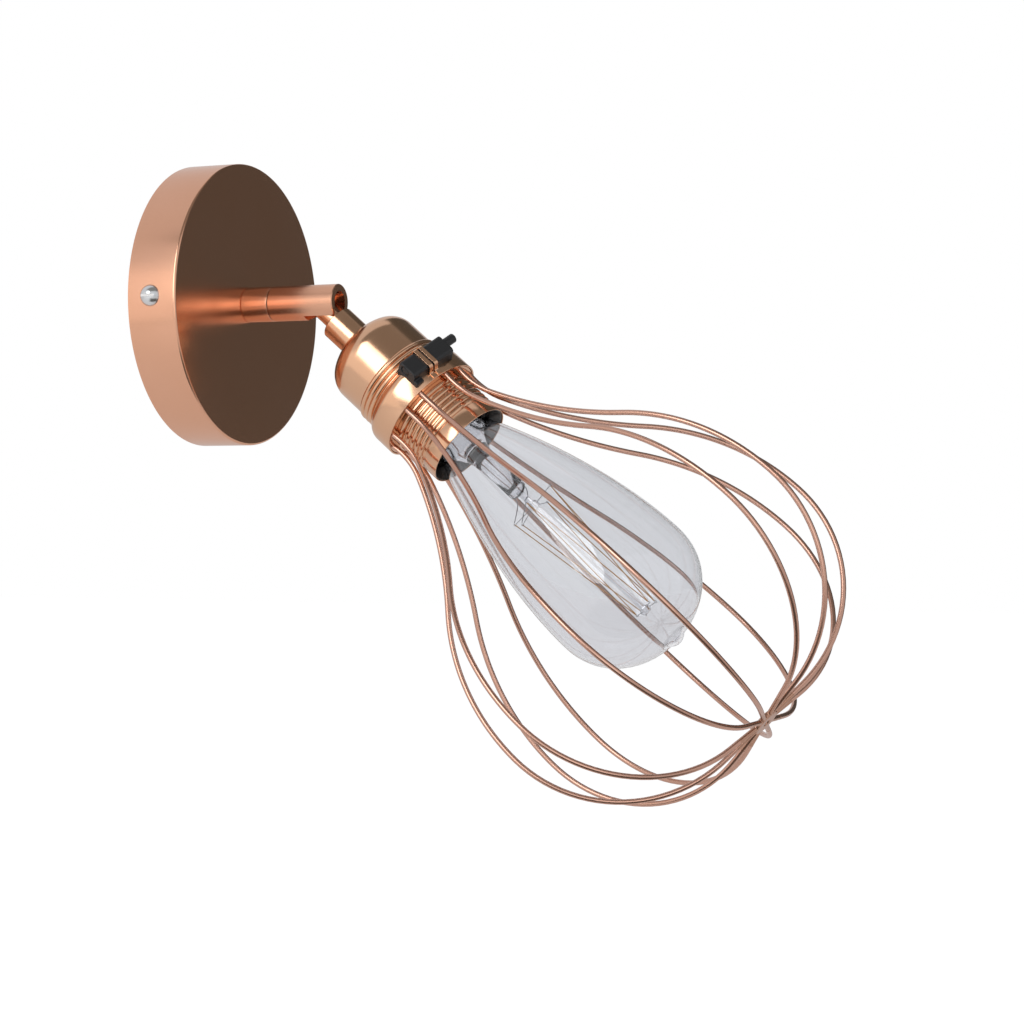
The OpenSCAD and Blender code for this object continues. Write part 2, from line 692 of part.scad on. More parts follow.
module skirt_shape() {
    difference() {
        union() {
            band(0, collar_r, dome_end - collar_l, dome_end + 1);
            band(0, bead_base_r, dome_end, skirt_s + 1);
            for (i = [0:2]) translate([bead_base_r, dome_end + bead_r + i * bead_pitch]) circle(r = bead_r);
            band(0, bell_c, skirt_s, rim_s);
            translate([bell_c, skirt_s + skirt_shoulder_r]) circle(r = skirt_shoulder_r);
            band(0, skirt_r, skirt_s + skirt_shoulder_r, rim_s);
        }
        band(-1, collar_ri, dome_end - 20, seat_s + 1);
        band(-1, sleeve_seat_r + fit, seat_s, skirt_s + 2);
        band(-1, bell_c, skirt_s + skirt_wall, rim_s + 1);
        translate([bell_c, skirt_s + skirt_shoulder_r]) circle(r = skirt_shoulder_r - skirt_wall);
        band(-1, skirt_r - skirt_wall, skirt_s + skirt_shoulder_r, rim_s + 1);
        translate([-canopy_d, 0]) square([canopy_d, canopy_d]);
    }
}
module holder_skirt() {
    w = 0.25;
    color("#cd8f6e") difference() {
        head() rotate_extrude() skirt_shape();
        at_switch() {
            translate([12, -switch_right - w, switch_s - w])
                cube([30, switch_right + switch_left + 2 * w, switch_l + 2 * w]);
            translate([12, toe_edge - w, switch_end - 1])
                cube([30, switch_left - toe_edge + 2 * w, toe_s - switch_end + 1 + w]);
        }
    }
}
module threaded_sleeve() {
    color("#cd8f6e") difference() {
        head() rotate_extrude() difference() {
            union() {
                band(0, sleeve_seat_r, seat_s, skirt_s - 0.1);
                band(0, root_r, seat_s, band_s);
                band(0, flange_r, collar_s - 1, collar_s);
                for (i = [0:thread_n - 1]) translate([root_r - 0.05, thread_s + i * thread_pitch])
                    circle(r = thread_h + 0.05);
                band(0, band_r - 0.3, band_s - 0.5, mouth_s);
                band(0, band_r, band_s, mouth_s - 0.3);
                translate([band_r - 0.3, mouth_s - 0.3]) circle(r = 0.3, $fn = 32);
            }
            band(-1, sleeve_ri, seat_s - 1, mouth_s + 1);
            band(-1, sleeve_mouth_r, liner_step_s, mouth_s + 1);
            translate([-canopy_d, 0]) square([canopy_d, canopy_d]);
        }
        at_switch() translate([8, -key_half - 0.25, switch_s + key_end - 0.4])
            cube([14, 2 * key_half + 0.5, switch_l - 2 * key_end + 0.8]);
    }
}
module shade_ring() {
    color("#cd8f6e") head() rotate_extrude()
        polygon([[root_r + fit, ring_top_s], [shade_ring_r, ring_top_s],
            [shade_ring_r, ring_top_s + shade_ring_h - 0.5], [shade_ring_r - 0.5, ring_top_s + shade_ring_h],
            [root_r + fit, ring_top_s + shade_ring_h]]);
}
module holder_liner() {
    color("#1c1c1e") difference() {
        head() rotate_extrude() difference() {
            union() {
                band(0, liner_r, seat_s - 7, liner_end);
                band(0, liner_mouth_r, liner_step_s + fit, liner_end);
            }
            band(-1, liner_r - 2.6, 0, floor_s);
            band(-1, shell_ri + shell_t, shell_s, liner_end + 1);
            band(-1, liner_bore_r, shell_end + 0.5, liner_end + 1);
            polygon([[0, liner_step_s + 1], [liner_bore_r, liner_step_s + 1],
                [liner_mouth_r - liner_lip, liner_end], [liner_mouth_r - liner_lip, liner_end + 1],
                [0, liner_end + 1]]);
            translate([-canopy_d, 0]) square([canopy_d, canopy_d]);
        }
        head() for (y = [0, rivet_y])
            translate([0, y, floor_s - 1]) cylinder(r = rivet_r + fit, h = floor_t + 2);
        at_switch() translate([switch_seat, -key_half - 0.25, switch_s + key_end - 0.25])
            cube([6, 2 * key_half + 0.5, switch_l - 2 * key_end + 0.5]);
    }
}
module screw_shell() {
    color("#c8a24a") head() rotate_extrude() union() {
        band(shell_ri, shell_ri + shell_t, shell_s, shell_end);
        band(7, shell_ri + shell_t, shell_s, shell_s + shell_t);
    }
}
module centre_contact() {
    color("#c8a24a") head() union() {
        translate([0, 0, floor_s]) cylinder(r = rivet_r, h = floor_t + eps);
        translate([0, 0, shell_s]) cylinder(r = 4.5, h = contact_h);
    }
}
module holder_terminals() {
    color("#c8a24a") head() {
        difference() {
            translate([-3, -3.5, floor_s - 6]) cube([6, 6.5, 6]);
            translate([0, -lead_y, floor_s - 7]) cylinder(r = lead_r + fit, h = 5);
        }
        difference() {
            union() {
                translate([-2.5, rivet_y - 3.5, floor_s - 6]) cube([5, 5, 6]);
                translate([0, rivet_y, floor_s - eps]) cylinder(r = rivet_r, h = floor_t + eps);
            }
            translate([0, outer_lead_y, floor_s - 7]) cylinder(r = lead_r + fit, h = 5);
        }
    }
}

// Switch pieces: local x is the distance n from the head's axis, local -y the bar's direction
module switch_profile() {
    e = switch_edge_r;
    band(switch_floor, switch_top - e, switch_s, switch_end);
    band(switch_floor, switch_top, switch_s + e, switch_end - e);
    translate([switch_top - e, switch_s + e]) circle(r = e);
    translate([switch_top - e, switch_end - e]) circle(r = e);
}
module switch_housing() {
    color("#232325") at_switch() difference() {
        union() {
            rotate([90, 0, 0]) translate([0, 0, -switch_left])
                linear_extrude(switch_left + switch_right) switch_profile();
            translate([toe_floor, toe_edge, switch_end - 0.5])
                cube([toe_n - toe_floor, switch_left - toe_edge, toe_s - switch_end + 0.5]);
            translate([switch_seat, -key_half, switch_s + key_end])
                cube([switch_floor - switch_seat + 1, 2 * key_half, switch_l - 2 * key_end]);
        }
        translate([bar_n, switch_left + 1, bar_s]) rotate([90, 0, 0])
            cylinder(r = bar_r + run_clear, h = switch_left + switch_right + 2);
    }
}
module switch_bar() {
    l = switch_left + switch_right + bar_out - 0.2;
    color("#232325") at_switch() translate([bar_n, switch_left - 0.2, bar_s]) rotate([90, 0, 0])
        rotate_extrude()
        polygon([[0, 0], [bar_r - 0.5, 0], [bar_r, 0.5], [bar_r, l - 0.5], [bar_r - 0.5, l], [0, l]]);
}
module saddle_shape(n0, n1) {
    top = switch_top + n1;
    low = switch_top + n0;
    foot = skirt_r;
    s0 = switch_s - saddle_t;
    knee = switch_end + 0.1;
    heel = knee + 0.6;
    polygon([[bead_base_r + 0.3, s0 + saddle_t - n1], [top, s0 + saddle_t - n1], [top, knee + n1],
        [foot + n1, heel + n1], [foot + n1, rim_s - 0.3], [foot + n0, rim_s - 0.3],
        [foot + n0, heel + n0], [low, knee + n0], [low, s0 + saddle_t - n0],
        [bead_base_r + 0.3, s0 + saddle_t - n0]]);
}
module switch_saddle() {
    color("#cd8f6e") at_switch() difference() {
        side_slab(saddle_w) saddle_shape(0, saddle_t);
        side_slab(0.2) saddle_shape(saddle_t / 2, saddle_t + 1);
    }
}

// Cage
module cage_collar() {
    color("#cd8f6e") head() rotate_extrude() band(cage_collar_ri, cage_collar_r, collar_s, ring_top_s);
}
module wire_arc(c, r, a0, a1) {
    translate([c[1], 0, c[0]]) rotate([90, 0, 0]) rotate([0, 0, a0])
        rotate_extrude(angle = a1 - a0) translate([r, 0]) circle(r = wire_r, $fn = 32);
}
module wire_joint(p) { translate([p[1], 0, p[0]]) sphere(r = wire_r + swell, $fn = 32); }
module cage_wire(k) {
    side = (k % 2 == 0) ? -1 : 1;
    color("#c98d6c") head() at_phi(cage_phi + 60 * floor(k / 2) + side * pair_half) {
        intersection() {
            wire_arc(c1, neck_arc_r, 180 - neck_end_angle, 180 - wire_start_angle + 3);
            translate([0, -wire_clip / 2, ring_top_s]) cube(wire_clip);
        }
        wire_arc(c2, flank_arc_r, 180 - flank_end_angle, 180 - neck_end_angle);
        wire_arc(c3, belly_arc_r, -flank_end_angle, 0);
        wire_arc(c4, end_arc_r, 0, 90);
        for (p = [p1, p2, p3, [tip_s, tip_r]]) wire_joint(p);
        translate([hub_reach, 0, tip_s]) rotate([0, 90, 0])
            cylinder(r = wire_r, h = tip_r - hub_reach, $fn = 32);
    }
}
module cage_wire_01() { cage_wire(0); }
module cage_wire_02() { cage_wire(1); }
module cage_wire_03() { cage_wire(2); }
module cage_wire_04() { cage_wire(3); }
module cage_wire_05() { cage_wire(4); }
module cage_wire_06() { cage_wire(5); }
module cage_wire_07() { cage_wire(6); }
module cage_wire_08() { cage_wire(7); }
module cage_wire_09() { cage_wire(8); }
module cage_wire_10() { cage_wire(9); }
module cage_wire_11() { cage_wire(10); }
module cage_wire_12() { cage_wire(11); }
module cage_hub() {
    color("#c98d6c") head() difference() {
        union() {
            translate([0, 0, tip_s - wire_r - 0.3]) cylinder(r = hub_r, h = wire_d + 0.6);
            for (k = [0:11]) at_phi(cage_phi + 60 * floor(k / 2) + ((k % 2 == 0) ? -1 : 1) * pair_half)
                translate([hub_r - 0.3, 0, tip_s]) rotate([0, 90, 0])
                cylinder(r = wire_r, h = hub_reach - hub_r + 0.3, $fn = 32);
        }
        translate([0, 0, tip_s - 5]) cylinder(d = hub_hole_d, h = 10);
    }
}

// Bulb
module bulb_glass() {
    end_s = glass_s + bulb_flank + bulb_crown;
    color("#dfe3e6", 0.4) head() rotate_extrude() difference() {
        union() {
            polygon(glass_pts(0));
            translate([0, end_s - 3]) circle(r = pip_r);
        }
        difference() {
            polygon(glass_pts(glass_t));
            translate([-1, end_s - glass_t - 0.8]) square([10, 10]);
        }
        translate([0, glass_s - 1]) square([neck_r - glass_t, 1.01]);
        translate([-canopy_d, 0]) square([canopy_d, 4 * canopy_d]);
    }
}
module bulb_cap() {
    cap_s = bulb_s + 4;
    color("#c9c2b4") head() rotate_extrude() difference() {
        union() {
            band(0, cap_r - 0.5, cap_s, glass_s);
            for (i = [0:4]) translate([cap_r - 1.2, cap_s + 3.2 + i * 3.6]) circle(r = 1.2);
            band(0, cap_r - 0.1, glass_s - 1.5, glass_s);
        }
        band(-1, cap_r - 0.9, cap_s + 0.4, glass_s + 1);
        translate([-canopy_d, 0]) square([canopy_d, 4 * canopy_d]);
    }
}
module bulb_insulator() {
    color("#1c1c1e") head() rotate_extrude()
        polygon([[0, bulb_s + 1.5], [5, bulb_s + 1.5], [cap_r - 1, bulb_s + 3.6], [cap_r - 1, bulb_s + 4],
            [0, bulb_s + 4]]);
}
module bulb_contact() {
    color("#c9c2b4") head() translate([0, 0, bulb_s]) cylinder(r1 = 3.5, r2 = 4.6, h = 1.5);
}
module bulb_stem() {
    color("#dfe3e6", 0.5) head() {
        rotate_extrude() polygon([[0, glass_s], [neck_r - glass_t - 0.1, glass_s],
            [neck_r - glass_t, glass_s + 0.8], [9, glass_s + 3], [5.5, glass_s + 8], [4.5, glass_s + 14],
            [4.2, glass_s + 26], [0, glass_s + 26]]);
        translate([-1.5, -4.5, pinch_s]) cube([3, 9, 8]);
        translate([0, 0, pinch_s + 5]) cylinder(r = stem_rod_r, h = rod_low - pinch_s - 5);
        for (s = [stem_top, rod_low])
            translate([0, 0, s - button_h / 2]) cylinder(r = button_r, h = button_h);
    }
}
strands = 8;
function fil_pt(i) = let (top = (i % 2 == 0), a = 20 + i * 40)
    [(top ? filament_top_r : filament_low_r) * cos(a), (top ? filament_top_r : filament_low_r) * sin(a),
        top ? stem_top : rod_low];
module filament_supports() {
    color("#8c8c8c") head() for (i = [0:strands]) {
        p = fil_pt(i);
        q = [p[0] * button_r / norm([p[0], p[1]]), p[1] * button_r / norm([p[0], p[1]]), p[2]];
        run(q, p - (p - q) * support_r / norm(p - q), support_r);
    }
}
module filament() {
    color("#c98a30") head() {
        for (i = [0:strands - 1]) run(fil_pt(i), fil_pt(i + 1), support_r);
        for (i = [0:strands]) bend(fil_pt(i), support_r);
    }
}

canopy();
wall_bracket();
canopy_screws();
terminal_block();
block_screws();
terminal_screws();
earth_screw();
earth_washer();
canopy_leads();
earth_lead();
swivel_stud();
stud_nut();
stud_washer();
arm_base();
swivel_grub();
arm_clevis();
pivot_pin();
arm_leads();
knuckle_tongue();
cord_nipple();
dome_washer();
dome_nut();
head_leads();
holder_dome();
holder_skirt();
threaded_sleeve();
shade_ring();
holder_liner();
screw_shell();
centre_contact();
holder_terminals();
switch_housing();
switch_saddle();
switch_bar();
cage_collar();
cage_wire_01();
cage_wire_02();
cage_wire_03();
cage_wire_04();
cage_wire_05();
cage_wire_06();
cage_wire_07();
cage_wire_08();
cage_wire_09();
cage_wire_10();
cage_wire_11();
cage_wire_12();
cage_hub();
bulb_glass();
bulb_cap();
bulb_insulator();
bulb_contact();
bulb_stem();
filament_supports();
filament();
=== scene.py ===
# %% [markdown]
# # Dressing a cage wall light
# The real light is a round copper-plated canopy on the wall, a short arm that turns, a lamp holder that
# tilts on the arm, and a cage of bent wire round a clear filament bulb. The CAD model already holds every
# piece in its place, so this lesson never moves anything: it makes finer skins for the pieces, gives each
# finish its own material, and lights the whole like a small product studio. All shapes are worked out
# with numpy in millimetres, because that is how a fitter would read them, and are turned to metres once.

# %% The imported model, and the tools
import math

import bmesh
import bpy
import numpy as np
from mathutils import Matrix, Vector


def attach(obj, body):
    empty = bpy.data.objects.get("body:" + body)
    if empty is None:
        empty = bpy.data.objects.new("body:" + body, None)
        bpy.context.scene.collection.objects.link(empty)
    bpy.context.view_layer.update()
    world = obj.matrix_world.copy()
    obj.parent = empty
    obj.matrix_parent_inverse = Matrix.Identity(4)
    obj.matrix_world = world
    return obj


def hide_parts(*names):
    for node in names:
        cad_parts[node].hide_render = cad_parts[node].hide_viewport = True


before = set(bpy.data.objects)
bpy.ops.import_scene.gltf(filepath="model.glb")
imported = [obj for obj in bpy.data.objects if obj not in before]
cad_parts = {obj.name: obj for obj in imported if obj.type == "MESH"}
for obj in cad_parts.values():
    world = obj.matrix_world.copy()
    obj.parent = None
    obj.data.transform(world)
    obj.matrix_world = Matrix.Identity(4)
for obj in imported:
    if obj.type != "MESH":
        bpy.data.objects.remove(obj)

MM = 1000.0  # millimetres in a metre

bpy.context.view_layer.update()

# %% [markdown]
# ## Two axes to turn things on
# Most pieces of a lamp are turned, spun or rolled, so they are round about one of two axes. The canopy and
# the arm turn about x, which points out of the wall. The head has its own axis, which starts at the tilt
# pin and points 40.5 degrees down. A point is given by its distance from an axis, the angle round it and
# the length along it, and these two functions put it into the shared frame.

# %% Places on the wall's axis and on the head's axis
TILT = math.radians(40.5)
PIN = np.array([55.0, 0.0, 0.0])
ALONG = np.array([math.cos(TILT), 0.0, -math.sin(TILT)])
SIDEWAYS = np.array([0.0, 1.0, 0.0])
UPPER = np.array([math.sin(TILT), 0.0, math.cos(TILT)])


def on_wall(r, phi, x):
    """Points of the shared frame in mm: x out of the wall, and r at angle phi about the x axis."""
    r, phi, x = np.broadcast_arrays(r, phi, x)
    return np.stack([x, r * np.cos(phi), r * np.sin(phi)], -1)


def on_head(r, phi, s):
    """Points of the shared frame in mm: s along the head from the pin, and r at angle phi about its axis."""
    r, phi, s = np.broadcast_arrays(r, phi, s)
    across, up = (r * np.cos(phi))[..., None], (r * np.sin(phi))[..., None]
    return PIN + s[..., None] * ALONG + across * SIDEWAYS + up * UPPER


print("end of the head's axis, 263 mm from the pin:", on_head(0, 0, 263).round(1))

# %% [markdown]
# ## From a grid of points to a piece
# A surface that is a function of two parameters is a grid of points. Neighbouring points make the faces,
# and a direction that runs all the way round is wrapped, so that no seam is left open. Where a row of the
# grid shrinks to one point, such as the tip of a bulb, merging the doubles closes the pole. The signed
# volume tells if the faces point outwards, which also holds for a wall with an inside and an outside.

# %% Making a mesh from grids
def grid_faces(rows, cols, wrap_rows, wrap_cols):
    """Four-sided faces of a grid numbered row by row; a wrapped direction joins its end to its start."""
    i = np.arange(rows if wrap_rows else rows - 1)
    j = np.arange(cols if wrap_cols else cols - 1)
    i, j = np.meshgrid(i, j, indexing="ij")
    k, m = (i + 1) % rows, (j + 1) % cols
    return np.stack([i * cols + j, k * cols + j, k * cols + m, i * cols + m], -1).reshape(-1, 4)


def volume(points, faces):
    """Signed volume in cubic mm: the sum over the faces of the pyramids that they make with the origin."""
    a, b, c, d = (points[faces[:, k]] for k in range(4))
    halves = np.einsum("ij,ij->i", a, np.cross(b, c)) + np.einsum("ij,ij->i", a, np.cross(c, d))
    return float(halves.sum() / 6)


def linked(name, data):
    """A new object of the scene for a mesh, a lamp or a camera, at the origin."""
    made = bpy.data.objects.new(name, data)
    bpy.context.scene.collection.objects.link(made)
    return made


def smooth_object(name, mesh):
    """An object for the mesh, with all faces shaded smooth."""
    mesh.polygons.foreach_set("use_smooth", np.ones(len(mesh.polygons), bool))
    return linked(name, mesh)


def piece(name, grids, sharp=38.0):
    """One object from (points, wrap_rows, wrap_cols) grids in mm, with sharp edges over the angle sharp."""
    points, faces, start = [], [], 0
    for grid, wrap_rows, wrap_cols in grids:
        flat = grid.reshape(-1, 3)
        quads = grid_faces(grid.shape[0], grid.shape[1], wrap_rows, wrap_cols)
        if volume(flat - flat.mean(0), quads) < 0:
            quads = quads[:, ::-1]
        points.append(flat)
        faces.append(quads + start)
        start += len(flat)
    mesh = bpy.data.meshes.new(name)
    mesh.from_pydata((np.concatenate(points) / MM).tolist(), [], np.concatenate(faces).tolist())
    work = bmesh.new()
    work.from_mesh(mesh)
    bmesh.ops.remove_doubles(work, verts=work.verts, dist=2e-7)
    bmesh.ops.dissolve_degenerate(work, edges=work.edges, dist=1e-8)
    work.to_mesh(mesh)
    work.free()
    made = smooth_object(name, mesh)
    mesh.set_sharp_from_angle(angle=math.radians(sharp))
    return made


def dress(obj, finish, body, node):
    """Gives a piece its material, lets it ride on its body, and hides the CAD node that it stands for."""
    obj.data.materials.clear()
    obj.data.materials.append(finish)
    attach(obj, body)
    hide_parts(node)


# %% [markdown]
# ## Outlines with broken corners
# No edge of a real piece is perfectly sharp, and it is the small rounding that catches the light. An
# outline is a list of corners, each with its rounding radius, and every corner becomes a true arc. Carried
# round an axis the outline makes a turned piece, and a thin one carried along a path makes a strip.

# %% Rounded outlines and turned pieces
def rounded(corners, steps=6, closed=True):
    """Outline through corners (u, v, radius): each corner is an arc that touches both of its sides."""
    pts = np.array([c[:2] for c in corners], float)
    out = []
    for k, (*_, radius) in enumerate(corners):
        p, a, b = pts[k], pts[k - 1], pts[(k + 1) % len(pts)]
        if radius <= 0 or (not closed and k in (0, len(pts) - 1)):
            out.append(p[None])
            continue
        to_a, to_b = (a - p) / np.linalg.norm(a - p), (b - p) / np.linalg.norm(b - p)
        half = 0.5 * math.acos(np.clip(to_a @ to_b, -1, 1))
        centre = p + (to_a + to_b) / np.linalg.norm(to_a + to_b) * radius / math.sin(half)
        touch = radius / math.tan(half)
        r0, r1 = p + to_a * touch - centre, p + to_b * touch - centre
        f = np.linspace(0, 1, steps + 1)[:, None]
        sweep = math.pi - 2 * half
        out.append(centre + (np.sin((1 - f) * sweep) * r0 + np.sin(f * sweep) * r1) / math.sin(sweep))
    return np.concatenate(out)


def turned(outline, place, around=160, closed=True):
    """Grid of a turned piece: each outline point (r, length) goes all the way round the axis of place."""
    phi = np.linspace(0, 2 * np.pi, around, endpoint=False)
    return place(outline[:, :1], phi[None], outline[:, 1:2]), closed, True


print("a rounded square has", len(rounded([(0, 0, 1), (9, 0, 1), (9, 9, 1), (0, 9, 1)])), "outline points")

# %% [markdown]
# ## Wires and leads
# A wire is a circle carried along a path. Every point of the path needs two directions square to it, and
# turning them as little as possible from point to point keeps the skin from twisting. The ends shrink to
# a point, so that they are closed and slightly rounded.

# %% A circle carried along a path
def carried(path, radius, around=16):
    """Grid of a round wire: a ring of the radius, square to the way, at each of the path's points."""
    way = np.gradient(path, axis=0)
    way /= np.linalg.norm(way, axis=1)[:, None]
    guide = np.cross(way[0], [0.31, 0.52, 0.79])
    frames = []
    for w in way:
        guide = guide - (guide @ w) * w
        guide = guide / np.linalg.norm(guide)
        frames.append(guide)
    one = np.array(frames)
    two = np.cross(way, one)
    psi = np.linspace(0, 2 * np.pi, around, endpoint=False)
    ring = np.cos(psi)[None, :, None] * one[:, None] + np.sin(psi)[None, :, None] * two[:, None]
    reach = np.full(len(path) + 4, float(radius))
    reach[[0, -1]], reach[[1, -2]] = 0.0, 0.75 * radius
    rows = np.concatenate([[0, 0], np.arange(len(path)), [-1, -1]])
    return path[rows][:, None] + reach[:, None, None] * ring[rows], False, True


def eased(points, bend, per_mm=1.2):
    """Path through points, with a curve in place of each corner that starts bend mm before the corner."""
    points = np.array(points, float)
    out = [points[:1]]
    for a, p, b in zip(points[:-2], points[1:-1], points[2:]):
        d0 = min(bend, 0.48 * np.linalg.norm(a - p))
        d1 = min(bend, 0.48 * np.linalg.norm(b - p))
        q0, q1 = p + (a - p) / np.linalg.norm(a - p) * d0, p + (b - p) / np.linalg.norm(b - p) * d1
        f = np.linspace(0, 1, 9)[:, None]
        out.append((1 - f) ** 2 * q0 + 2 * f * (1 - f) * p + f**2 * q1)
    path = np.concatenate([*out, points[-1:]])
    length = np.concatenate([[0], np.cumsum(np.linalg.norm(np.diff(path, axis=0), axis=1))])
    at = np.unique(np.concatenate([length, np.arange(0, length[-1], 1 / per_mm)]))
    at = at[np.concatenate([[True], np.diff(at) > 0.02])]
    return np.stack([np.interp(at, length, path[:, k]) for k in range(3)], 1)


# %% [markdown]
# ## Keeping the machined shapes
# The tongue, the fork and the bracket come from cutters and presses, and their CAD solids already have the
# right faces. A copy of such a solid is merged into one skin, its flat faces are joined, and a small bevel
# breaks its edges as a deburring wheel does. The CAD mesh itself stays as it was.

# %% A copy of a CAD node with broken edges
def deburred(name, node, edge=0.2, segments=2, angle=28.0):
    """A merged copy of a CAD node with a bevel of edge mm on every edge sharper than angle."""
    work = bmesh.new()
    work.from_mesh(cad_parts[node].data)
    bmesh.ops.remove_doubles(work, verts=work.verts, dist=1e-6)
    bmesh.ops.dissolve_limit(work, angle_limit=math.radians(0.6), verts=work.verts, edges=work.edges)
    merged = bpy.data.meshes.new("merged")
    work.to_mesh(merged)
    work.free()
    points = np.empty((len(merged.vertices), 3), np.float32)
    ends, starts = np.empty(len(merged.loops), int), np.empty(len(merged.polygons), int)
    merged.vertices.foreach_get("co", points.ravel())
    merged.loops.foreach_get("vertex_index", ends)
    merged.polygons.foreach_get("loop_start", starts)
    bpy.data.meshes.remove(merged)
    # a mesh made anew leaves behind the stored normals and sharp marks of the unmerged faces
    mesh = bpy.data.meshes.new(name)
    mesh.from_pydata(points.tolist(), [], [face.tolist() for face in np.split(ends, starts[1:])])
    made = smooth_object(name, mesh)
    bevel = made.modifiers.new("broken edges", "BEVEL")
    bevel.width, bevel.segments = edge / MM, segments
    bevel.limit_method, bevel.angle_limit = "ANGLE", math.radians(angle)
    bevel.harden_normals = True
    return made


# %% [markdown]
# ## Colours and nodes
# Colours are written as a painter reads them, in sRGB hex, and one function turns them to the linear values
# that the renderer adds up. One function adds a node with its settings, values and links. Most finishes are
# a noise that varies the tone or the gloss a little, so a last function makes those from short lists, with
# every pattern sized in real millimetres.

# %% Colour and node helpers
def linear(code):
    """sRGB hex to linear RGBA: c / 12.92 up to 0.04045, above it ((c + 0.055) / 1.055) to the power 2.4."""
    c = np.array([int(code[k : k + 2], 16) for k in (1, 3, 5)]) / 255
    return (*np.where(c <= 0.04045, c / 12.92, ((c + 0.055) / 1.055) ** 2.4), 1.0)


def add(tree, kind, inputs=None, **settings):
    """Adds one node: settings are its own properties, inputs are its sockets, each a value or a link."""
    node = tree.nodes.new(kind)
    for key, value in settings.items():
        setattr(node, key, value)
    for key, value in (inputs or {}).items():
        if isinstance(value, bpy.types.NodeSocket):
            tree.links.new(value, node.inputs[key])
        else:
            node.inputs[key].default_value = value
    return node


def noise(tree, size, detail, rough=0.5):
    """Share from 0 to 1 of a noise whose features are size mm wide, on the piece's own coordinates."""
    place = add(tree, "ShaderNodeTexCoord")
    inputs = {"Vector": place.outputs["Object"], "Scale": MM / size, "Detail": detail, "Roughness": rough}
    return add(tree, "ShaderNodeTexNoise", inputs).outputs["Fac"]


def blend(tree, share, first, second, **settings):
    """Colour that goes from first to second as share goes from 0 to 1."""
    inputs = {0: share, 6: first, 7: second}
    return add(tree, "ShaderNodeMix", inputs, data_type="RGBA", **settings).outputs[2]


def feed(finish, socket, value):
    """Links a node's output to a socket of the finish's shader."""
    finish.node_tree.links.new(value, finish.node_tree.nodes["Principled BSDF"].inputs[socket])


def finish_of(name, colour=None, tone=None, gloss=None, relief=None, **sockets):
    """A new material. colour is a plain sRGB hex, and tone is (size, detail, first, second) of a noise that
    mixes two. gloss is (size, detail, low, high) of a noise in the roughness, and relief is (strength,
    depth in mm) of the same noise in the surface. sockets are the shader's other values."""
    made = bpy.data.materials.new(name)
    made.use_nodes = True
    tree = made.node_tree
    if colour:
        sockets["Base_Color"] = linear(colour)
    for key, value in sockets.items():
        tree.nodes["Principled BSDF"].inputs[key.replace("_", " ")].default_value = value
    if tone:
        size, detail, first, second = tone
        feed(made, "Base Color", blend(tree, noise(tree, size, detail), linear(first), linear(second)))
    if gloss:
        size, detail, low, high, *rough = gloss
        grain = noise(tree, size, detail, *rough)
        spread = add(tree, "ShaderNodeMapRange", {"Value": grain, "To Min": low, "To Max": high})
        feed(made, "Roughness", spread.outputs["Result"])
    if relief:
        inputs = {"Height": grain, "Strength": relief[0], "Distance": relief[1] / MM}
        feed(made, "Normal", add(tree, "ShaderNodeBump", inputs).outputs["Normal"])
    return made


print("mid grey in linear light:", round(float(linear("#808080")[0]), 3))

# %% [markdown]
# ## Copper plate, satin and polished
# The canopy and the arm are steel, plated with copper and brushed to a satin. The brushing leaves a fine
# grain that spreads a reflection into a soft glow, while the lamp holder is plated over a polished ground
# and mirrors the studio, under a lacquer that warms its colour a little. The plate varies a little in
# depth, which a wide, faint noise gives.

# %% Satin copper and polished copper
# Satin copper plate: brushed with fine grit, so reflections blur and the surface has a grain of 0.7 mm.
FINE_GRAIN, ROUGH = (0.7, 3.0), 0.7
satin_copper = finish_of("copper plate, satin brushed", gloss=(*FINE_GRAIN, 0.19, 0.22, ROUGH),
                         relief=(0.04, 0.02), Metallic=1.0)
tree = satin_copper.node_tree
tone = blend(tree, noise(tree, 30, 2.0), linear("#efb695"), linear("#f4bea1"))
speck = blend(tree, noise(tree, *FINE_GRAIN, ROUGH), linear("#f4f0ee"), linear("#ffffff"))
feed(satin_copper, "Base Color", blend(tree, 1.0, tone, speck, blend_type="MULTIPLY"))

# Polished copper plate: buffed, then lacquered, which softens the mirror to a haze with blurred edges.
polished_copper = finish_of("copper plate, polished", tone=(18, 2.0, "#e6b592", "#edbf9e"),
                            gloss=(1.5, 4.0, 0.15, 0.2), Metallic=1.0)

# %% [markdown]
# ## Copper wire
# The cage is bent from drawn steel wire and plated. Drawing and plating leave the wire duller than the
# polished holder, so its highlight is broad. The weld at the tip is a shade darker and a little rougher
# still, where heat coloured the steel under the plate.

# %% Copper wire and its weld
# Drawn wire, copper plated: a soft, even gloss, with patches of tone about 9 mm wide.
wire_copper = finish_of("drawn wire, copper plated", tone=(9, 3.0, "#cfa18d", "#dbb09d"),
                        gloss=(9, 3.0, 0.22, 0.27), Metallic=1.0)

# The weld: plated over heat-darkened steel, so it is a shade browner and duller, with a grain of 1 mm.
weld_copper = finish_of("weld, copper plated", tone=(1.0, 3.0, "#c0937c", "#cda28b"),
                        gloss=(1.0, 3.0, 0.24, 0.3), Metallic=1.0)

# %% [markdown]
# ## The other metals
# The side screws are chromed steel with a soft polish. The bracket, nuts and washers are zinc plated, which
# shows as a cool grey with soft cloudy patches. Terminals, threaded tubes and the holder's screw shell are
# plain brass. The bulb's cap is nickel-plated brass, and the grub screw is blackened steel.

# %% Chrome, zinc, brass, nickel and blackened steel
# Chromed steel: cool and bright, with a faint haze from handling.
chrome = finish_of("chromed steel", "#e6e8ea", gloss=(1.2, 3.0, 0.16, 0.24), Metallic=1.0)

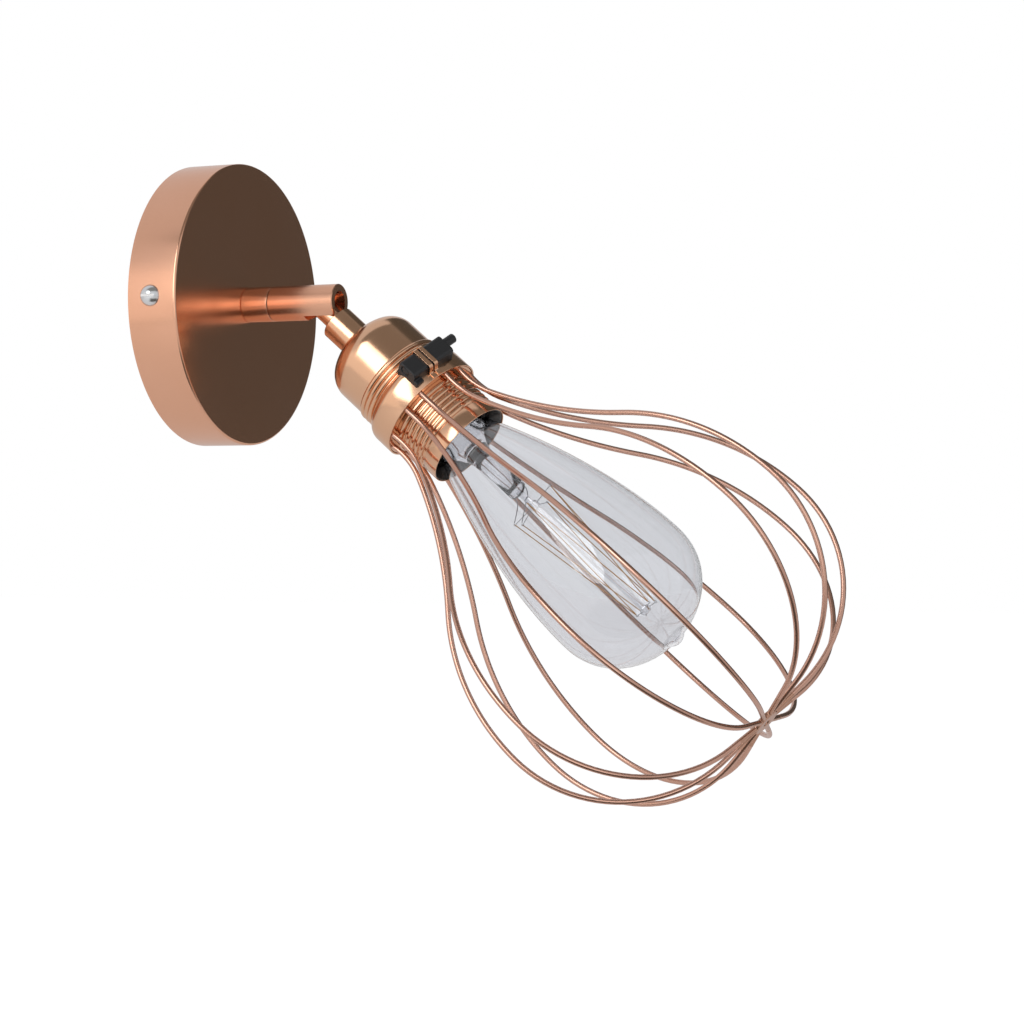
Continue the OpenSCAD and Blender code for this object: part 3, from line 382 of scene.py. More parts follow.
# Zinc plate: grey crystals of about 5 mm under a fine, dull grain.
zinc_steel = finish_of("steel, zinc plated", gloss=(0.9, 3.0, 0.28, 0.46), relief=(0.15, 0.05), Metallic=1.0)
tree = zinc_steel.node_tree
place = add(tree, "ShaderNodeTexCoord").outputs["Object"]
cloud = add(tree, "ShaderNodeTexVoronoi", {"Vector": place, "Scale": MM / 5}).outputs["Distance"]
feed(zinc_steel, "Base Color", blend(tree, cloud, linear("#b9bec2"), linear("#a4a9ae")))

# Turned brass: yellow, with patches that have begun to dull.
brass = finish_of("brass, turned", tone=(6, 4.0, "#c9a458", "#dcbd75"), gloss=(6, 4.0, 0.18, 0.34),
                  Metallic=1.0)

# Nickel plate: a warm grey, rolled smooth.
nickel = finish_of("brass, nickel plated", "#c8c2b6", gloss=(2.0, 3.0, 0.14, 0.26), Metallic=1.0)

# Blackened steel: oiled and nearly matt.
black_steel = finish_of("steel, blackened", "#3a3a3c", gloss=(0.6, 3.0, 0.35, 0.55), Metallic=1.0)

# %% [markdown]
# ## Plastics
# The push switch is moulded in black plastic with a lightly sparked skin, which keeps its highlights soft.
# The holder's liner is phenolic, pressed from powder, a touch browner and shinier. The terminal block is
# white polyamide, which lets a little light in. The wires have plain PVC sleeves.

# %% Black plastic, phenolic, polyamide and wire sleeves
# Black ABS: the mould's spark marks are pits of about 0.6 mm.
black_plastic = finish_of("ABS, black, sparked mould", "#1d1e20", gloss=(0.6, 3.0, 0.38, 0.52),
                          relief=(0.3, 0.05), IOR=1.52)

# Black phenolic: the wood flour in it shows as faint brown flecks.
phenolic = finish_of("phenolic, black, pressed", tone=(1.2, 5.0, "#161413", "#23201e"),
                     gloss=(1.2, 5.0, 0.22, 0.36), IOR=1.6)

# White polyamide: light goes about 2 mm into it.
polyamide = finish_of("polyamide, white, moulded", tone=(8, 2.0, "#e3dfd3", "#ece9df"),
                      gloss=(0.5, 2.0, 0.38, 0.5), IOR=1.53, Subsurface_Weight=0.15,
                      Subsurface_Radius=(0.002, 0.0018, 0.0015))

# Brown PVC: extruded, so tone and gloss drift slowly along the wire.
brown_sleeve = finish_of("PVC wire sleeve, brown", tone=(3, 2.0, "#5e371f", "#6d4226"),
                         gloss=(3, 2.0, 0.34, 0.46), IOR=1.53)

# Earth wire's PVC: green with a yellow stripe, here as slanting bands, as its two colours twist round.
earth_sleeve = finish_of("PVC wire sleeve, green and yellow", IOR=1.53, Roughness=0.4)
tree = earth_sleeve.node_tree
place = add(tree, "ShaderNodeTexCoord").outputs["Object"]
band = add(tree, "ShaderNodeTexWave", {"Vector": place, "Scale": MM / 30}, bands_direction="DIAGONAL")
edge = add(tree, "ShaderNodeMapRange", {"Value": band.outputs["Fac"], "From Min": 0.6, "From Max": 0.66})
feed(earth_sleeve, "Base Color", blend(tree, edge.outputs["Result"], linear("#3f8f45"), linear("#d9c23a")))

# %% [markdown]
# ## Glass, supports and filament
# The bulb is blown soda-lime glass, thin and slightly grey, with a real wall so that both of its faces
# reflect. The supports are molybdenum wire, dull grey, and the filament is a carbonised thread: amber where
# it is thin and the light comes through.

# %% Glass, support wire and filament
# Blown glass: its gloss drifts a little over 22 mm, where the glass cooled unevenly.
clear_glass = finish_of("soda-lime glass, blown", "#e7e8eb", gloss=(22, 1.0, 0.0, 0.02), IOR=1.56,
                        Transmission_Weight=1.0)

# Molybdenum wire: grey and dull from drawing.
support_wire = finish_of("molybdenum wire", "#8f8f92", gloss=(1.0, 2.0, 0.25, 0.45), Metallic=1.0)

# Carbonised thread: amber, with slow changes of tone along it.
carbon_thread = finish_of("carbonised thread, amber", tone=(4, 2.0, "#b87a2c", "#dca04a"), IOR=1.5,
                          Roughness=0.4)
print("materials:", len(bpy.data.materials))

# %% [markdown]
# ## The canopy
# The canopy is spun from sheet over a form: a flat face, a tight rounded edge and a straight side, open to
# the wall. A turned outline gives exactly that, with the wall's thickness as the inner side of the same
# outline, so the rounded edge stays smooth however close one looks.

# %% The canopy's spun cup
CUP_R, CUP_DEPTH, CUP_SHEET = 60.0, 22.5, 1.2
HOLE_R = 5.1  # hole for a threaded tube, in the canopy and in the holder's dome
inner_r, inner_x = CUP_R - CUP_SHEET, CUP_DEPTH - CUP_SHEET
outline = rounded([
    (CUP_R, 0, 0), (CUP_R, CUP_DEPTH, 1.0), (HOLE_R, CUP_DEPTH, 0.1), (HOLE_R, inner_x, 0.1),
    (inner_r, inner_x, 0.5), (inner_r, 0, 0)], 8)
canopy = piece("canopy_cup", [turned(outline, on_wall, 256)])
dress(canopy, satin_copper, "wall_base", "canopy")
print("canopy:", len(canopy.data.polygons), "faces")

# %% [markdown]
# ## The arm and the knuckle
# The fixed part of the arm is a turned ring. The turning part is bored and slotted to let the knuckle swing,
# and the knuckle is a rod with a round end and a channel for the wires; both keep their machined CAD
# shapes, with edges broken just enough to catch a line of light.

# %% Arm, knuckle and pin
ARM_R, SEAM_X, SOCKET_R, TUBE_R, TUBE_END_X = 7.5, 35.0, 5.55, 5.0, 28.0
outline = rounded([
    (ARM_R, CUP_DEPTH, 0.35), (ARM_R, SEAM_X, 0.18), (SOCKET_R, SEAM_X, 0.1), (SOCKET_R, TUBE_END_X, 0),
    (TUBE_R, TUBE_END_X, 0), (TUBE_R, CUP_DEPTH, 0)], 4)
ring = piece("arm_fixed_ring", [turned(outline, on_wall, 96)])
fork = deburred("arm_turning_fork", "arm_clevis", 0.25, 3)
pin = deburred("tilt_pin", "pivot_pin", 0.15)
knuckle = deburred("knuckle", "knuckle_tongue", 0.25, 3)
dress(ring, satin_copper, "wall_base", "arm_base")
dress(fork, satin_copper, "arm", "arm_clevis")
dress(pin, polished_copper, "arm", "pivot_pin")
dress(knuckle, polished_copper, "head", "knuckle_tongue")
print("knuckle before its bevel:", len(knuckle.data.polygons), "faces")

# %% [markdown]
# ## The lamp holder
# Dome and skirt are spun and meet at three rolled beads; the skirt swells to a bell that hides the cage's
# collar. Arcs of the true radii make the outlines, as on the spinner's drawing: a crown of 29 mm, a
# shoulder of 10 mm, beads of 1.2 mm and a bell of 5 mm.

# %% Dome
def arc(centre, radius, a0, a1, steps):
    """Points (r, s) on a circle round centre, from angle a0 to a1 in degrees, from +r towards +s."""
    a = np.radians(np.linspace(a0, a1, steps + 1))
    return np.stack([centre[0] + radius * np.cos(a), centre[1] + radius * np.sin(a)], 1)


DOME_S, DOME_END_S, DOME_SHEET = 26.1, 50.6, 1.0
CROWN, CROWN_R = (0, 54.1), 29.0
SHOULDER, SHOULDER_R = (10.65, 38.37), 10.0
MEET = -55.9  # degrees, where crown and shoulder touch
dome_r = SHOULDER[0] + SHOULDER_R
outline = np.concatenate([
    [[HOLE_R, DOME_S]], arc(CROWN, CROWN_R, -74.9, MEET, 10), arc(SHOULDER, SHOULDER_R, MEET, 0, 20)[1:],
    [[dome_r, DOME_END_S], [dome_r - DOME_SHEET, DOME_END_S]],
    arc(SHOULDER, SHOULDER_R - DOME_SHEET, 0, MEET, 12),
    arc(CROWN, CROWN_R - DOME_SHEET, MEET, -74.6, 8)[1:], [[HOLE_R, DOME_S + DOME_SHEET]]])
dome = piece("holder_dome_spun", [turned(outline, on_head, 192)])
dress(dome, polished_copper, "head", "holder_dome")
print("dome: diameter", round(2 * dome_r, 1), "mm")

# %% Skirt with its beads
SLEEVE_R = 18.6  # outside of the sleeve, and root of its thread
TUCK_S = 43.6  # the skirt's upper end, inside the dome
BEAD_R, BEAD_CENTRE_R, BEAD_PITCH = 1.2, 20.3, 2.3
SKIRT_S, RIM_S, SKIRT_SHEET, LIP_R = 57.9, 71.5, 0.7, 0.2
BELL, BELL_R = (19.1, 62.9), 5.0
first_bead = DOME_END_S + BEAD_R
beads = [arc((BEAD_CENTRE_R, first_bead + BEAD_PITCH * k), BEAD_R, start, end, 12)
         for k, (start, end) in enumerate([(-90, 73.4), (-73.4, 73.4), (-73.4, 90)])]
lip_out = (BELL[0] + BELL_R - LIP_R, RIM_S - LIP_R)
lip_in = (BELL[0] + BELL_R - SKIRT_SHEET + LIP_R, RIM_S - LIP_R)
outline = np.concatenate([
    [[SLEEVE_R, TUCK_S], [SLEEVE_R + 1, TUCK_S], [SLEEVE_R + 1, DOME_END_S]], *beads,
    [[BEAD_CENTRE_R, SKIRT_S]], arc(BELL, BELL_R, -78, 0, 16), arc(lip_out, LIP_R, 0, 90, 3),
    arc(lip_in, LIP_R, 90, 180, 3), arc(BELL, BELL_R - SKIRT_SHEET, 0, -90, 12),
    [[19.2, SKIRT_S + 0.7], [19.2, DOME_END_S + 1], [SLEEVE_R, DOME_END_S + 1]]])
skirt = piece("holder_skirt_spun", [turned(outline, on_head, 192)])
dress(skirt, polished_copper, "head", "holder_skirt")
print("bell: diameter", round(2 * (BELL[0] + BELL_R), 1), "mm")

# %% [markdown]
# ## The threaded sleeve
# The sleeve below the skirt carries a round thread for the ring that holds a shade. The thread is one
# rounded ridge that climbs 2.6 mm a turn. As a function of two parameters, the radius at angle phi and
# length s is the root's radius plus half an ellipse where s is near the helix, faded out at both ends.

# %% Sleeve
THREAD_S, THREAD_END_S, THREAD_PITCH = 75.3, 85.7, 2.6
RIDGE_H, RIDGE_HALF = 0.9, 1.0
COLLAR_S, RING_S, RING_END_S = 70.0, 71.2, 74.0
FLANGE_R, BORE_R = 21.5, 17.2
BAND_S, MOUTH_S, MOUTH_R = 87.4, 94.3, 19.33


def ridge(s, phi):
    """Extra radius of the thread: an ellipse about the helix s = start + pitch * (turns + phi / 2 pi)."""
    off = (s - THREAD_S) / THREAD_PITCH - phi / (2 * np.pi)
    near = (off - np.round(off)) * THREAD_PITCH / RIDGE_HALF
    fade = np.clip((s - THREAD_S + 0.6 * THREAD_PITCH) / (0.5 * THREAD_PITCH), 0, 1)
    fade = fade * np.clip((THREAD_END_S + 0.6 * THREAD_PITCH - s) / (0.5 * THREAD_PITCH), 0, 1)
    return RIDGE_H * fade * np.sqrt(np.clip(1 - near**2, 0, 1))


phi = np.linspace(0, 2 * np.pi, 256, endpoint=False)[None]
s_out = np.arange(RING_END_S + 0.02, BAND_S, 0.13)
lip = (MOUTH_R - LIP_R, MOUTH_S - LIP_R)
outline = np.concatenate([
    [[BORE_R, DOME_END_S + 1], [19.15, DOME_END_S + 1], [19.15, SKIRT_S - 0.1], [SLEEVE_R, SKIRT_S - 0.1]],
    [[SLEEVE_R, COLLAR_S - 1], [FLANGE_R, COLLAR_S - 1], [FLANGE_R, COLLAR_S], [SLEEVE_R, COLLAR_S]],
    np.stack([np.full(len(s_out), SLEEVE_R), s_out], 1),
    [[18.9, BAND_S], [19.2, BAND_S + 0.05], [MOUTH_R, BAND_S + 0.2]],
    arc(lip, LIP_R, 0, 90, 5), arc(lip, LIP_R, 90, 180, 5)[1:],
    [[lip[0] - LIP_R, BAND_S + 0.9], [BORE_R, BAND_S + 0.9]]])
r, s = outline[:, :1], outline[:, 1:2]
radius = r + ridge(s, phi) * (r == SLEEVE_R) * (s > RING_END_S - 1)
sleeve = piece("sleeve_threaded", [(on_head(radius, phi, s), True, True)], 50)
dress(sleeve, polished_copper, "head", "threaded_sleeve")
print("sleeve:", len(sleeve.data.polygons), "faces, largest diameter", round(2 * float(radius.max()), 2))

# %% Shade ring and the cage's collar
ring_r = SLEEVE_R + 0.05
outline = rounded([
    (ring_r, RING_S, 0.1), (20.2, RING_S, 0.15), (20.2, RING_END_S - 0.5, 0.15), (19.7, RING_END_S, 0.2),
    (ring_r, RING_END_S, 0.1)], 4)
ring = piece("shade_ring_turned", [turned(outline, on_head)])
dress(ring, polished_copper, "head", "shade_ring")
COLLAR_R, COLLAR_IN_R = 23.3, 19.6
outline = rounded([
    (COLLAR_IN_R, COLLAR_S, 0.15), (COLLAR_R, COLLAR_S, 0.25), (COLLAR_R, RING_S, 0.25),
    (COLLAR_IN_R, RING_S, 0.15)], 4)
collar = piece("cage_collar_ring", [turned(outline, on_head)])
dress(collar, polished_copper, "head", "cage_collar")
print("collar:", len(collar.data.polygons), "faces")

# %% [markdown]
# ## The liner in the mouth
# A black phenolic liner keeps the lamp's screw shell away from the metal. Only its funnel is seen, as a dark
# ring between the sleeve's thin lip and the glass, so its edge is rounded and its slope is kept smooth.

# %% Liner
outline = rounded([
    (0, 62.6, 0), (13.74, 62.6, 0.2), (13.74, 87.1, 0.2), (15.9, 87.1, 0.2), (15.9, 89.3, 0.8),
    (18.48, 93.9, 0.12), (18.88, 93.9, 0.18), (18.88, 88.35, 0.1), (17.15, 88.35, 0.2), (17.15, 44.6, 0.2),
    (14.55, 44.6, 0.2), (14.55, 58.6, 0.2), (0, 58.6, 0)], 5)
liner = piece("liner_pressed", [turned(outline, on_head, 128, closed=False)])
dress(liner, phenolic, "head", "holder_liner")
print("liner:", len(liner.data.polygons), "faces")

# %% [markdown]
# ## The push switch and its saddle
# The switch is a black block with a bored hole that a round bar runs through, pushed from either side. The
# block is the CAD's own solid with rounded edges, so the bore stays true when the bar moves. A copper saddle
# of two strips with an open seam clamps it down: each strip is a thin rounded section carried along a path.

# %% Places on the switch
PHI_SWITCH = math.radians(134.0)
OUTWARD = math.cos(PHI_SWITCH) * SIDEWAYS + math.sin(PHI_SWITCH) * UPPER
ACROSS = math.sin(PHI_SWITCH) * SIDEWAYS - math.cos(PHI_SWITCH) * UPPER
BAR_N, BAR_S, BAR_R = 25.5, 61.9, 2.0


def on_switch(n, s, t):
    """Points in mm: n out from the head's axis, s along it, t across, towards the bar's free end."""
    n, s, t = np.broadcast_arrays(n, s, t)
    return PIN + n[..., None] * OUTWARD + s[..., None] * ALONG + t[..., None] * ACROSS


def on_bar(r, psi, t):
    """Points in mm: r at angle psi about the push bar's own axis, and t along it."""
    return on_switch(BAR_N + r * np.cos(psi), BAR_S + r * np.sin(psi), t)


print("middle of the push bar:", on_bar(0.0, 0.0, 0.0).round(1))

# %% Switch block, push bar and saddle
switch = deburred("switch_block", "switch_housing", 0.45, 4)
dress(switch, black_plastic, "head", "switch_housing")

BAR_BACK, BAR_FREE = -9.8, 17.6
outline = rounded([(0, BAR_BACK, 0), (BAR_R, BAR_BACK, 0.5), (BAR_R, BAR_FREE, 0.6), (0, BAR_FREE, 0)])
bar = piece("push_bar", [turned(outline, on_bar, 48, closed=False)], 50)
dress(bar, black_plastic, "switch", "switch_bar")

STRIP_HALF = 0.3  # half the strips' thickness
SADDLE_TOP, SADDLE_FOOT = 28.5, 24.4
strip = rounded([
    (20.6, SKIRT_S, 0), (SADDLE_TOP, SKIRT_S, 0.8), (SADDLE_TOP, 68.0, 1.0), (SADDLE_FOOT, 68.6, 0.8),
    (SADDLE_FOOT, RING_S, 0)], closed=False)
way = np.gradient(strip, axis=0)
way /= np.linalg.norm(way, axis=1)[:, None]
square = np.stack([way[:, 1], -way[:, 0]], 1)
strips = []
for t0, t1 in ((-2.3, -0.45), (0.45, 2.3)):
    section = rounded([(t0, -STRIP_HALF, 0.08), (t1, -STRIP_HALF, 0.08), (t1, STRIP_HALF, 0.22),
                       (t0, STRIP_HALF, 0.22)], 4)
    n, s = (strip[:, k : k + 1] - square[:, k : k + 1] * section[None, :, 1] for k in range(2))
    skin = on_switch(n, s, section[None, :, 0])
    first, last = skin[:1].mean(1, keepdims=True), skin[-1:].mean(1, keepdims=True)
    strips.append((np.concatenate([skin[:1] * 0 + first, skin, skin[-1:] * 0 + last]), False, True))
saddle = piece("switch_saddle_strips", strips, 40)
dress(saddle, polished_copper, "head", "switch_saddle")
print("saddle:", len(saddle.data.polygons), "faces")

# %% [markdown]
# ## The cage
# Twelve wires leave the collar in six pairs. Each is bent in one plane, so its path is a chain of arcs that
# touch: in at the neck, out along the flank, round the belly and in over the end to the tip. Starting
# from the collar, each arc's centre follows from the last point and direction, as on the bending jig.

# %% The path of one wire, and the twelve wires
def bent_path(start, angle, arcs, steps=26):
    """Points (s, r) of a chain of arcs (radius, end angle, side), each from where the last one ended."""
    points, at, a = [np.array([start])], np.array(start, float), math.radians(angle)
    for radius, end, side in arcs:
        centre = at + side * radius * np.array([-math.sin(a), math.cos(a)])
        b = math.radians(end)
        f = np.linspace(a, b, steps)[1:]
        points.append(centre + side * radius * np.stack([np.sin(f), -np.cos(f)], 1))
        at, a = points[-1][-1], b
    return np.concatenate(points)


WIRE_R, WIRE_START_R, WIRE_START_ANGLE = 1.09, 22.1, -8.5
NECK, FLANK, BELLY, END = (33.6, 22.5, 1), (188.0, 40.9, 1), (97.3, 0.0, -1), (58.4, -90.0, -1)
STUB_R, STUB_LAP = 16.0, 0.4  # the weld's stubs reach this far out, and lap over the wires
FIRST_PAIR, PAIR_HALF = 50.5, 11.7  # degrees
wire_line = bent_path((RING_S, WIRE_START_R), WIRE_START_ANGLE, [NECK, FLANK, BELLY, END])
tip_s, tip_r = wire_line[-1]
straight = np.stack([np.full(8, tip_s), np.linspace(tip_r, STUB_R - STUB_LAP, 9)[1:]], 1)
wire_line = np.concatenate([wire_line, straight])
wire_angles = np.radians([
    FIRST_PAIR + 60 * pair + off for pair in range(6) for off in (-PAIR_HALF, PAIR_HALF)])
for k, angle in enumerate(wire_angles):
    path = on_head(wire_line[:, 1], angle, wire_line[:, 0])
    wire = piece(f"bent_wire_{k + 1:02d}", [carried(path, WIRE_R, 20)], 60)
    dress(wire, wire_copper, "head", f"cage_wire_{k + 1:02d}")
cage_r = float(wire_line[:, 1].max()) + WIRE_R
print("cage: widest at r =", round(cage_r, 1), "tip at s =", round(float(tip_s), 1))

# %% [markdown]
# ## The welded tip
# At the tip the twelve wires run together in a star and are welded round a small hole. The weld flows
# from wire to wire, which no single outline gives. The pieces of the star are therefore
# fused with a voxel remesh of 0.3 mm and smoothed, which leaves the soft fillets of a real weld.

# %% The welded star
def on_tip(r, angle, z):
    """Points in mm: r and angle about the head's axis, and z along it from the wires' tip plane."""
    return on_head(r, angle, tip_s + z)


TIP_HOLE_R, TIP_R, TIP_HALF, VOXEL = 1.5, 6.0, 1.25, 0.3
ring = rounded([(TIP_HOLE_R, -TIP_HALF, 0.4), (TIP_R, -TIP_HALF, 0.9), (TIP_R, TIP_HALF, 0.9),
                (TIP_HOLE_R, TIP_HALF, 0.4)], 5)
stubs = [carried(on_head(np.linspace(4.6, STUB_R, 14), a, tip_s), WIRE_R, 20) for a in wire_angles]
star = piece("welded_star", [turned(ring, on_tip, 96), *stubs], 60)
fuse = star.modifiers.new("weld", "REMESH")
fuse.mode, fuse.voxel_size, fuse.use_smooth_shade = "VOXEL", VOXEL / MM, True
soften = star.modifiers.new("flow", "SMOOTH")
soften.factor, soften.iterations = 0.5, 5
made = bpy.data.meshes.new_from_object(star.evaluated_get(bpy.context.evaluated_depsgraph_get()))
star.modifiers.clear()
star.data = made
made.polygons.foreach_set("use_smooth", np.ones(len(made.polygons), bool))
dress(star, weld_copper, "head", "cage_hub")
print("star:", len(made.polygons), "faces")

# %% [markdown]
# ## The bulb's glass
# The bulb is drawn out to a long pear shape: from the cap its flank opens quickly and then more slowly, a
# power curve, and the crown closes as a superellipse with a small pip where it was sealed. The outline goes
# out along the outer face and back along the inner one, so the glass is a thin closed wall.

# %% Glass envelope
NECK_R, BULB_R, GLASS_WALL = 13.0, 33.1, 0.8
GLASS_S, WIDEST_S, CROWN_H = 91.1, 182.6, 31.0
PIP_R, PIP_H, PIP_CENTRE_S = 3.9, 3.7, 210.6


def bulb_outline(wall):
    """Outline (r, s) of the glass, wall mm inside its outer face: power curve, superellipse and pip."""
    u = np.linspace(0, 1, 60)[:-1]
    opening = NECK_R - wall + (BULB_R - NECK_R) * (1 - (1 - u) ** 1.8)
    flank = np.stack([opening, GLASS_S + (WIDEST_S - GLASS_S) * u], 1)
    v = np.sin(np.radians(np.linspace(0, 90, 60)))
    closing = (BULB_R - wall) * np.sqrt(np.clip(1 - v**2.2, 0, 1))
    crown = np.stack([closing, WIDEST_S + (CROWN_H - wall) * v], 1)
    crown = crown[crown[:, 0] > 7.2 - wall]
    # a curve with the handle b leads from the crown into the pip
    r, h = PIP_R - wall, PIP_H - wall
    a, b, c = crown[-1], np.array([4.8 - wall, 213.5 - wall]), np.array([r, PIP_CENTRE_S + h])
    f = np.linspace(0, 1, 8)[:, None]
    blend_in = ((1 - f) ** 2 * a + 2 * f * (1 - f) * b + f**2 * c)[1:]
    pip = arc((0, PIP_CENTRE_S), math.hypot(r, h), math.degrees(math.atan2(h, r)), 90, 8)[1:]
    return np.concatenate([flank, crown, blend_in, pip])


outline = np.concatenate([bulb_outline(0.0), bulb_outline(GLASS_WALL)[::-1]])
glass = piece("bulb_envelope", [turned(outline, on_head)], 60)
dress(glass, clear_glass, "head", "bulb_glass")
print("glass: widest diameter", round(2 * float(outline[:, 0].max()), 1), "mm")

# %% [markdown]
# ## Inside the bulb
# A flared tube of glass closes the neck, is pressed flat round the wires, and carries a rod with two
# buttons. Fine supports stand out from the buttons and hold the filament, which zigzags between them like
# a cage of its own. The flat press is a circle whose two radii drift apart along the tube.

# %% Stem
def stem_grid(rows):
    """Grid of a tube with unequal radii: rows are (s, radius across, radius up)."""
    rows = np.array(rows, float)
    at = np.linspace(0, len(rows) - 1, 8 * (len(rows) - 1) + 1)
    rows = np.stack([np.interp(at, np.arange(len(rows)), rows[:, k]) for k in range(3)], 1)
    rows[1:-1] = (rows[:-2] + 2 * rows[1:-1] + rows[2:]) / 4
    phi = np.linspace(0, 2 * np.pi, 40, endpoint=False)[None]
    c, u = rows[:, 1:2] * np.cos(phi), rows[:, 2:3] * np.sin(phi)
    return PIN + rows[:, :1, None] * ALONG + c[..., None] * SIDEWAYS + u[..., None] * UPPER, False, True


LOW_BUTTON_S, HIGH_BUTTON_S, ROD_R = 132.6, 196.6, 1.3
tube = [
    (91.2, 0, 0), (91.2, 12.0, 12.0), (93.1, 10.2, 10.2), (95.6, 7.6, 7.6), (99.6, 5.4, 5.4),
    (105.6, 4.5, 4.5), (114.6, 4.2, 4.2), (118.6, 3.4, 4.3), (121.6, 1.6, 4.5), (123.6, 1.5, 4.3),
    (124.8, 1.2, 2.6), (125.6, 0, 0)]
rod = [(s, r, r) for s, r in (
    (123.6, 0), (123.6, ROD_R), (131, ROD_R), (131.5, 2.2), (LOW_BUTTON_S, 2.4), (133.7, 2.2), (134.2, ROD_R),
    (140.6, ROD_R), (160.6, ROD_R), (188.6, ROD_R), (195, ROD_R), (195.5, 2.2), (HIGH_BUTTON_S, 2.4),
    (197.8, 1.9), (198.1, 0))]
stem = piece("stem_pressed", [stem_grid(tube), stem_grid(rod)], 60)
dress(stem, clear_glass, "head", "bulb_stem")
print("stem:", len(stem.data.polygons), "faces")

# %% Supports and filament
HOOK_R, HOOK_WIRE_R, TAIL_R, THREAD_R = 0.45, 0.15, 0.2, 0.2
corners = np.arange(9)
corner_r = np.where(corners % 2 == 0, 11.0, 5.5)
corner_s = np.where(corners % 2 == 0, LOW_BUTTON_S, HIGH_BUTTON_S)
# the supports count their angle in the CAD source's own way, where 0 is the head's underside and 90 is +y
corner_a = np.radians(20 + 40 * corners) - np.pi / 2
supports = []
for r, a, s in zip(corner_r, corner_a, corner_s):
    eye = np.linspace(0, 1.7 * np.pi, 14)
    arm_r = np.concatenate([np.linspace(2.0, r - 2 * HOOK_R, 8), r - HOOK_R * np.cos(eye)])
    arm_s = s + np.concatenate([np.zeros(8), HOOK_R * np.sin(eye)])
    supports.append(carried(on_head(arm_r, a, arm_s), HOOK_WIRE_R, 8))
for end, side in ((0, 1), (8, -1)):
    tail = [on_head(3.2, np.pi / 2 * side, 118.6), on_head(3.4, np.pi / 2 * side, 126.6),
            on_head(corner_r[end] - 0.5, corner_a[end], LOW_BUTTON_S - 0.8)]
    supports.append(carried(eased(tail, 3.0), TAIL_R, 8))
hooks = piece("filament_hooks", supports, 60)
dress(hooks, support_wire, "head", "filament_supports")

strands = eased(on_head(corner_r, corner_a, corner_s), 1.2, 0.5)
thread = piece("filament_thread", [carried(strands, THREAD_R, 10)], 60)
dress(thread, carbon_thread, "head", "filament")
length = np.linalg.norm(np.diff(strands, axis=0), axis=1).sum()
print("filament:", round(float(length)), "mm long")

# %% [markdown]
# ## Cap, shell and contacts
# The bulb's cap and the holder's shell have the same rolled thread, so that one screws into the other. Both
# are thin sheet, and the radius follows a cosine along a helix with a pitch of 3.6 mm. The tubes that hold
# the arm and the dome have a cut thread of 1 mm.

# %% Rolled threads and threaded tubes
CAP_PITCH = 3.6
TUBE_OUT_R, TUBE_BORE_R, TUBE_PITCH = 4.95, 3.4, 1.0


def rolled(s0, s1, radius, depth, wall, rows=140):
    """Grid of a thin rolled screw: radius + depth * cos(2 pi (s / pitch - turns)), outside and inside."""
    s = np.concatenate([np.linspace(s0, s1, rows), np.linspace(s1, s0, rows)])[:, None]
    inner = np.concatenate([np.zeros(rows), np.full(rows, wall)])[:, None]
    ends = np.clip((s - s0) / 2.0, 0, 1) * np.clip((s1 - s) / 2.0, 0, 1)
    phi = np.linspace(0, 2 * np.pi, 96, endpoint=False)[None]
    wave = np.cos(2 * np.pi * s / CAP_PITCH - phi)
    return on_head(radius - inner + depth * ends * wave, phi, s), True, True


def threaded_tube(x0, x1, place):
    """Grid of a threaded tube: the outside is a triangle wave along a helix, and the bore is plain."""
    s = np.arange(x0, x1, TUBE_PITCH / 8)[:, None]
    phi = np.linspace(0, 2 * np.pi, 64, endpoint=False)[None]
    turn = s / TUBE_PITCH - phi / (2 * np.pi)
    ends = np.clip(2 * (s - x0), 0, 1) * np.clip(2 * (x1 - s), 0, 1)
    out = TUBE_OUT_R - 0.5 * np.abs(turn - np.floor(turn) - 0.5) * ends
    back = np.full((2, 64), TUBE_BORE_R)
    return place(np.concatenate([out, back]), phi, np.concatenate([s, [[x1], [x0]]])), True, True


for name, grid, finish, body, node, slot in (
        ("cap_rolled", rolled(68.2, 91.0, 12.7, 0.4, 0.5), nickel, "head", "bulb_cap", "nickel"),
        ("shell_rolled", rolled(62.7, 86.6, 13.45, 0.2, 0.3), brass, "head", "screw_shell", "brass"),
        ("swivel_tube", threaded_tube(12.1, TUBE_END_X, on_wall), brass, "wall_base", "swivel_stud", "brass"),
        ("nipple_tube", threaded_tube(17.3, 33.7, on_head), brass, "head", "cord_nipple", "brass")):
    screw = piece(name, [grid], 60)
    dress(screw, finish, body, node)
    print(name, "has", len(screw.data.polygons), "faces")

# %% [markdown]
# ## Leads behind the canopy
# The supply's wires end in the terminal block, and the lamp's own wires run from there through the tube,
# the arm and the knuckle into the holder. Each follows its CAD run, with the corners eased as a wire of
# 1.8 mm bends by hand.

# %% Leads
LEAD_R, EARTH_R = 0.9, 0.8
BLOCK_X, BLOCK_Z, POLE_PITCH = 8.5, -28.0, 9.5
LEAD_Y, LEAD_Z = 1.0, 3.22
EARTH_Y = 14.0
supply = [
    eased([(BLOCK_X, m * POLE_PITCH, BLOCK_Z), (BLOCK_X, m * POLE_PITCH, -13), (BLOCK_X - 1, m * LEAD_Y, -4),
           (BLOCK_X, m * LEAD_Y, 0), (TUBE_END_X, m * LEAD_Y, 0)], 3.0) for m in (-1, 1)]
earth = eased([(BLOCK_X, 0, BLOCK_Z), (BLOCK_X, 0, -19.5), (3.6, 3.5, -16), (3.6, EARTH_Y, -3),
               (3.6, EARTH_Y, 1.6)], 2.5)
inner = [np.linspace((TUBE_END_X + 0.1, m * LEAD_Y, 0), (PIN[0] - 0.4, m * LEAD_Y, LEAD_Z), 20)
         for m in (-1, 1)]


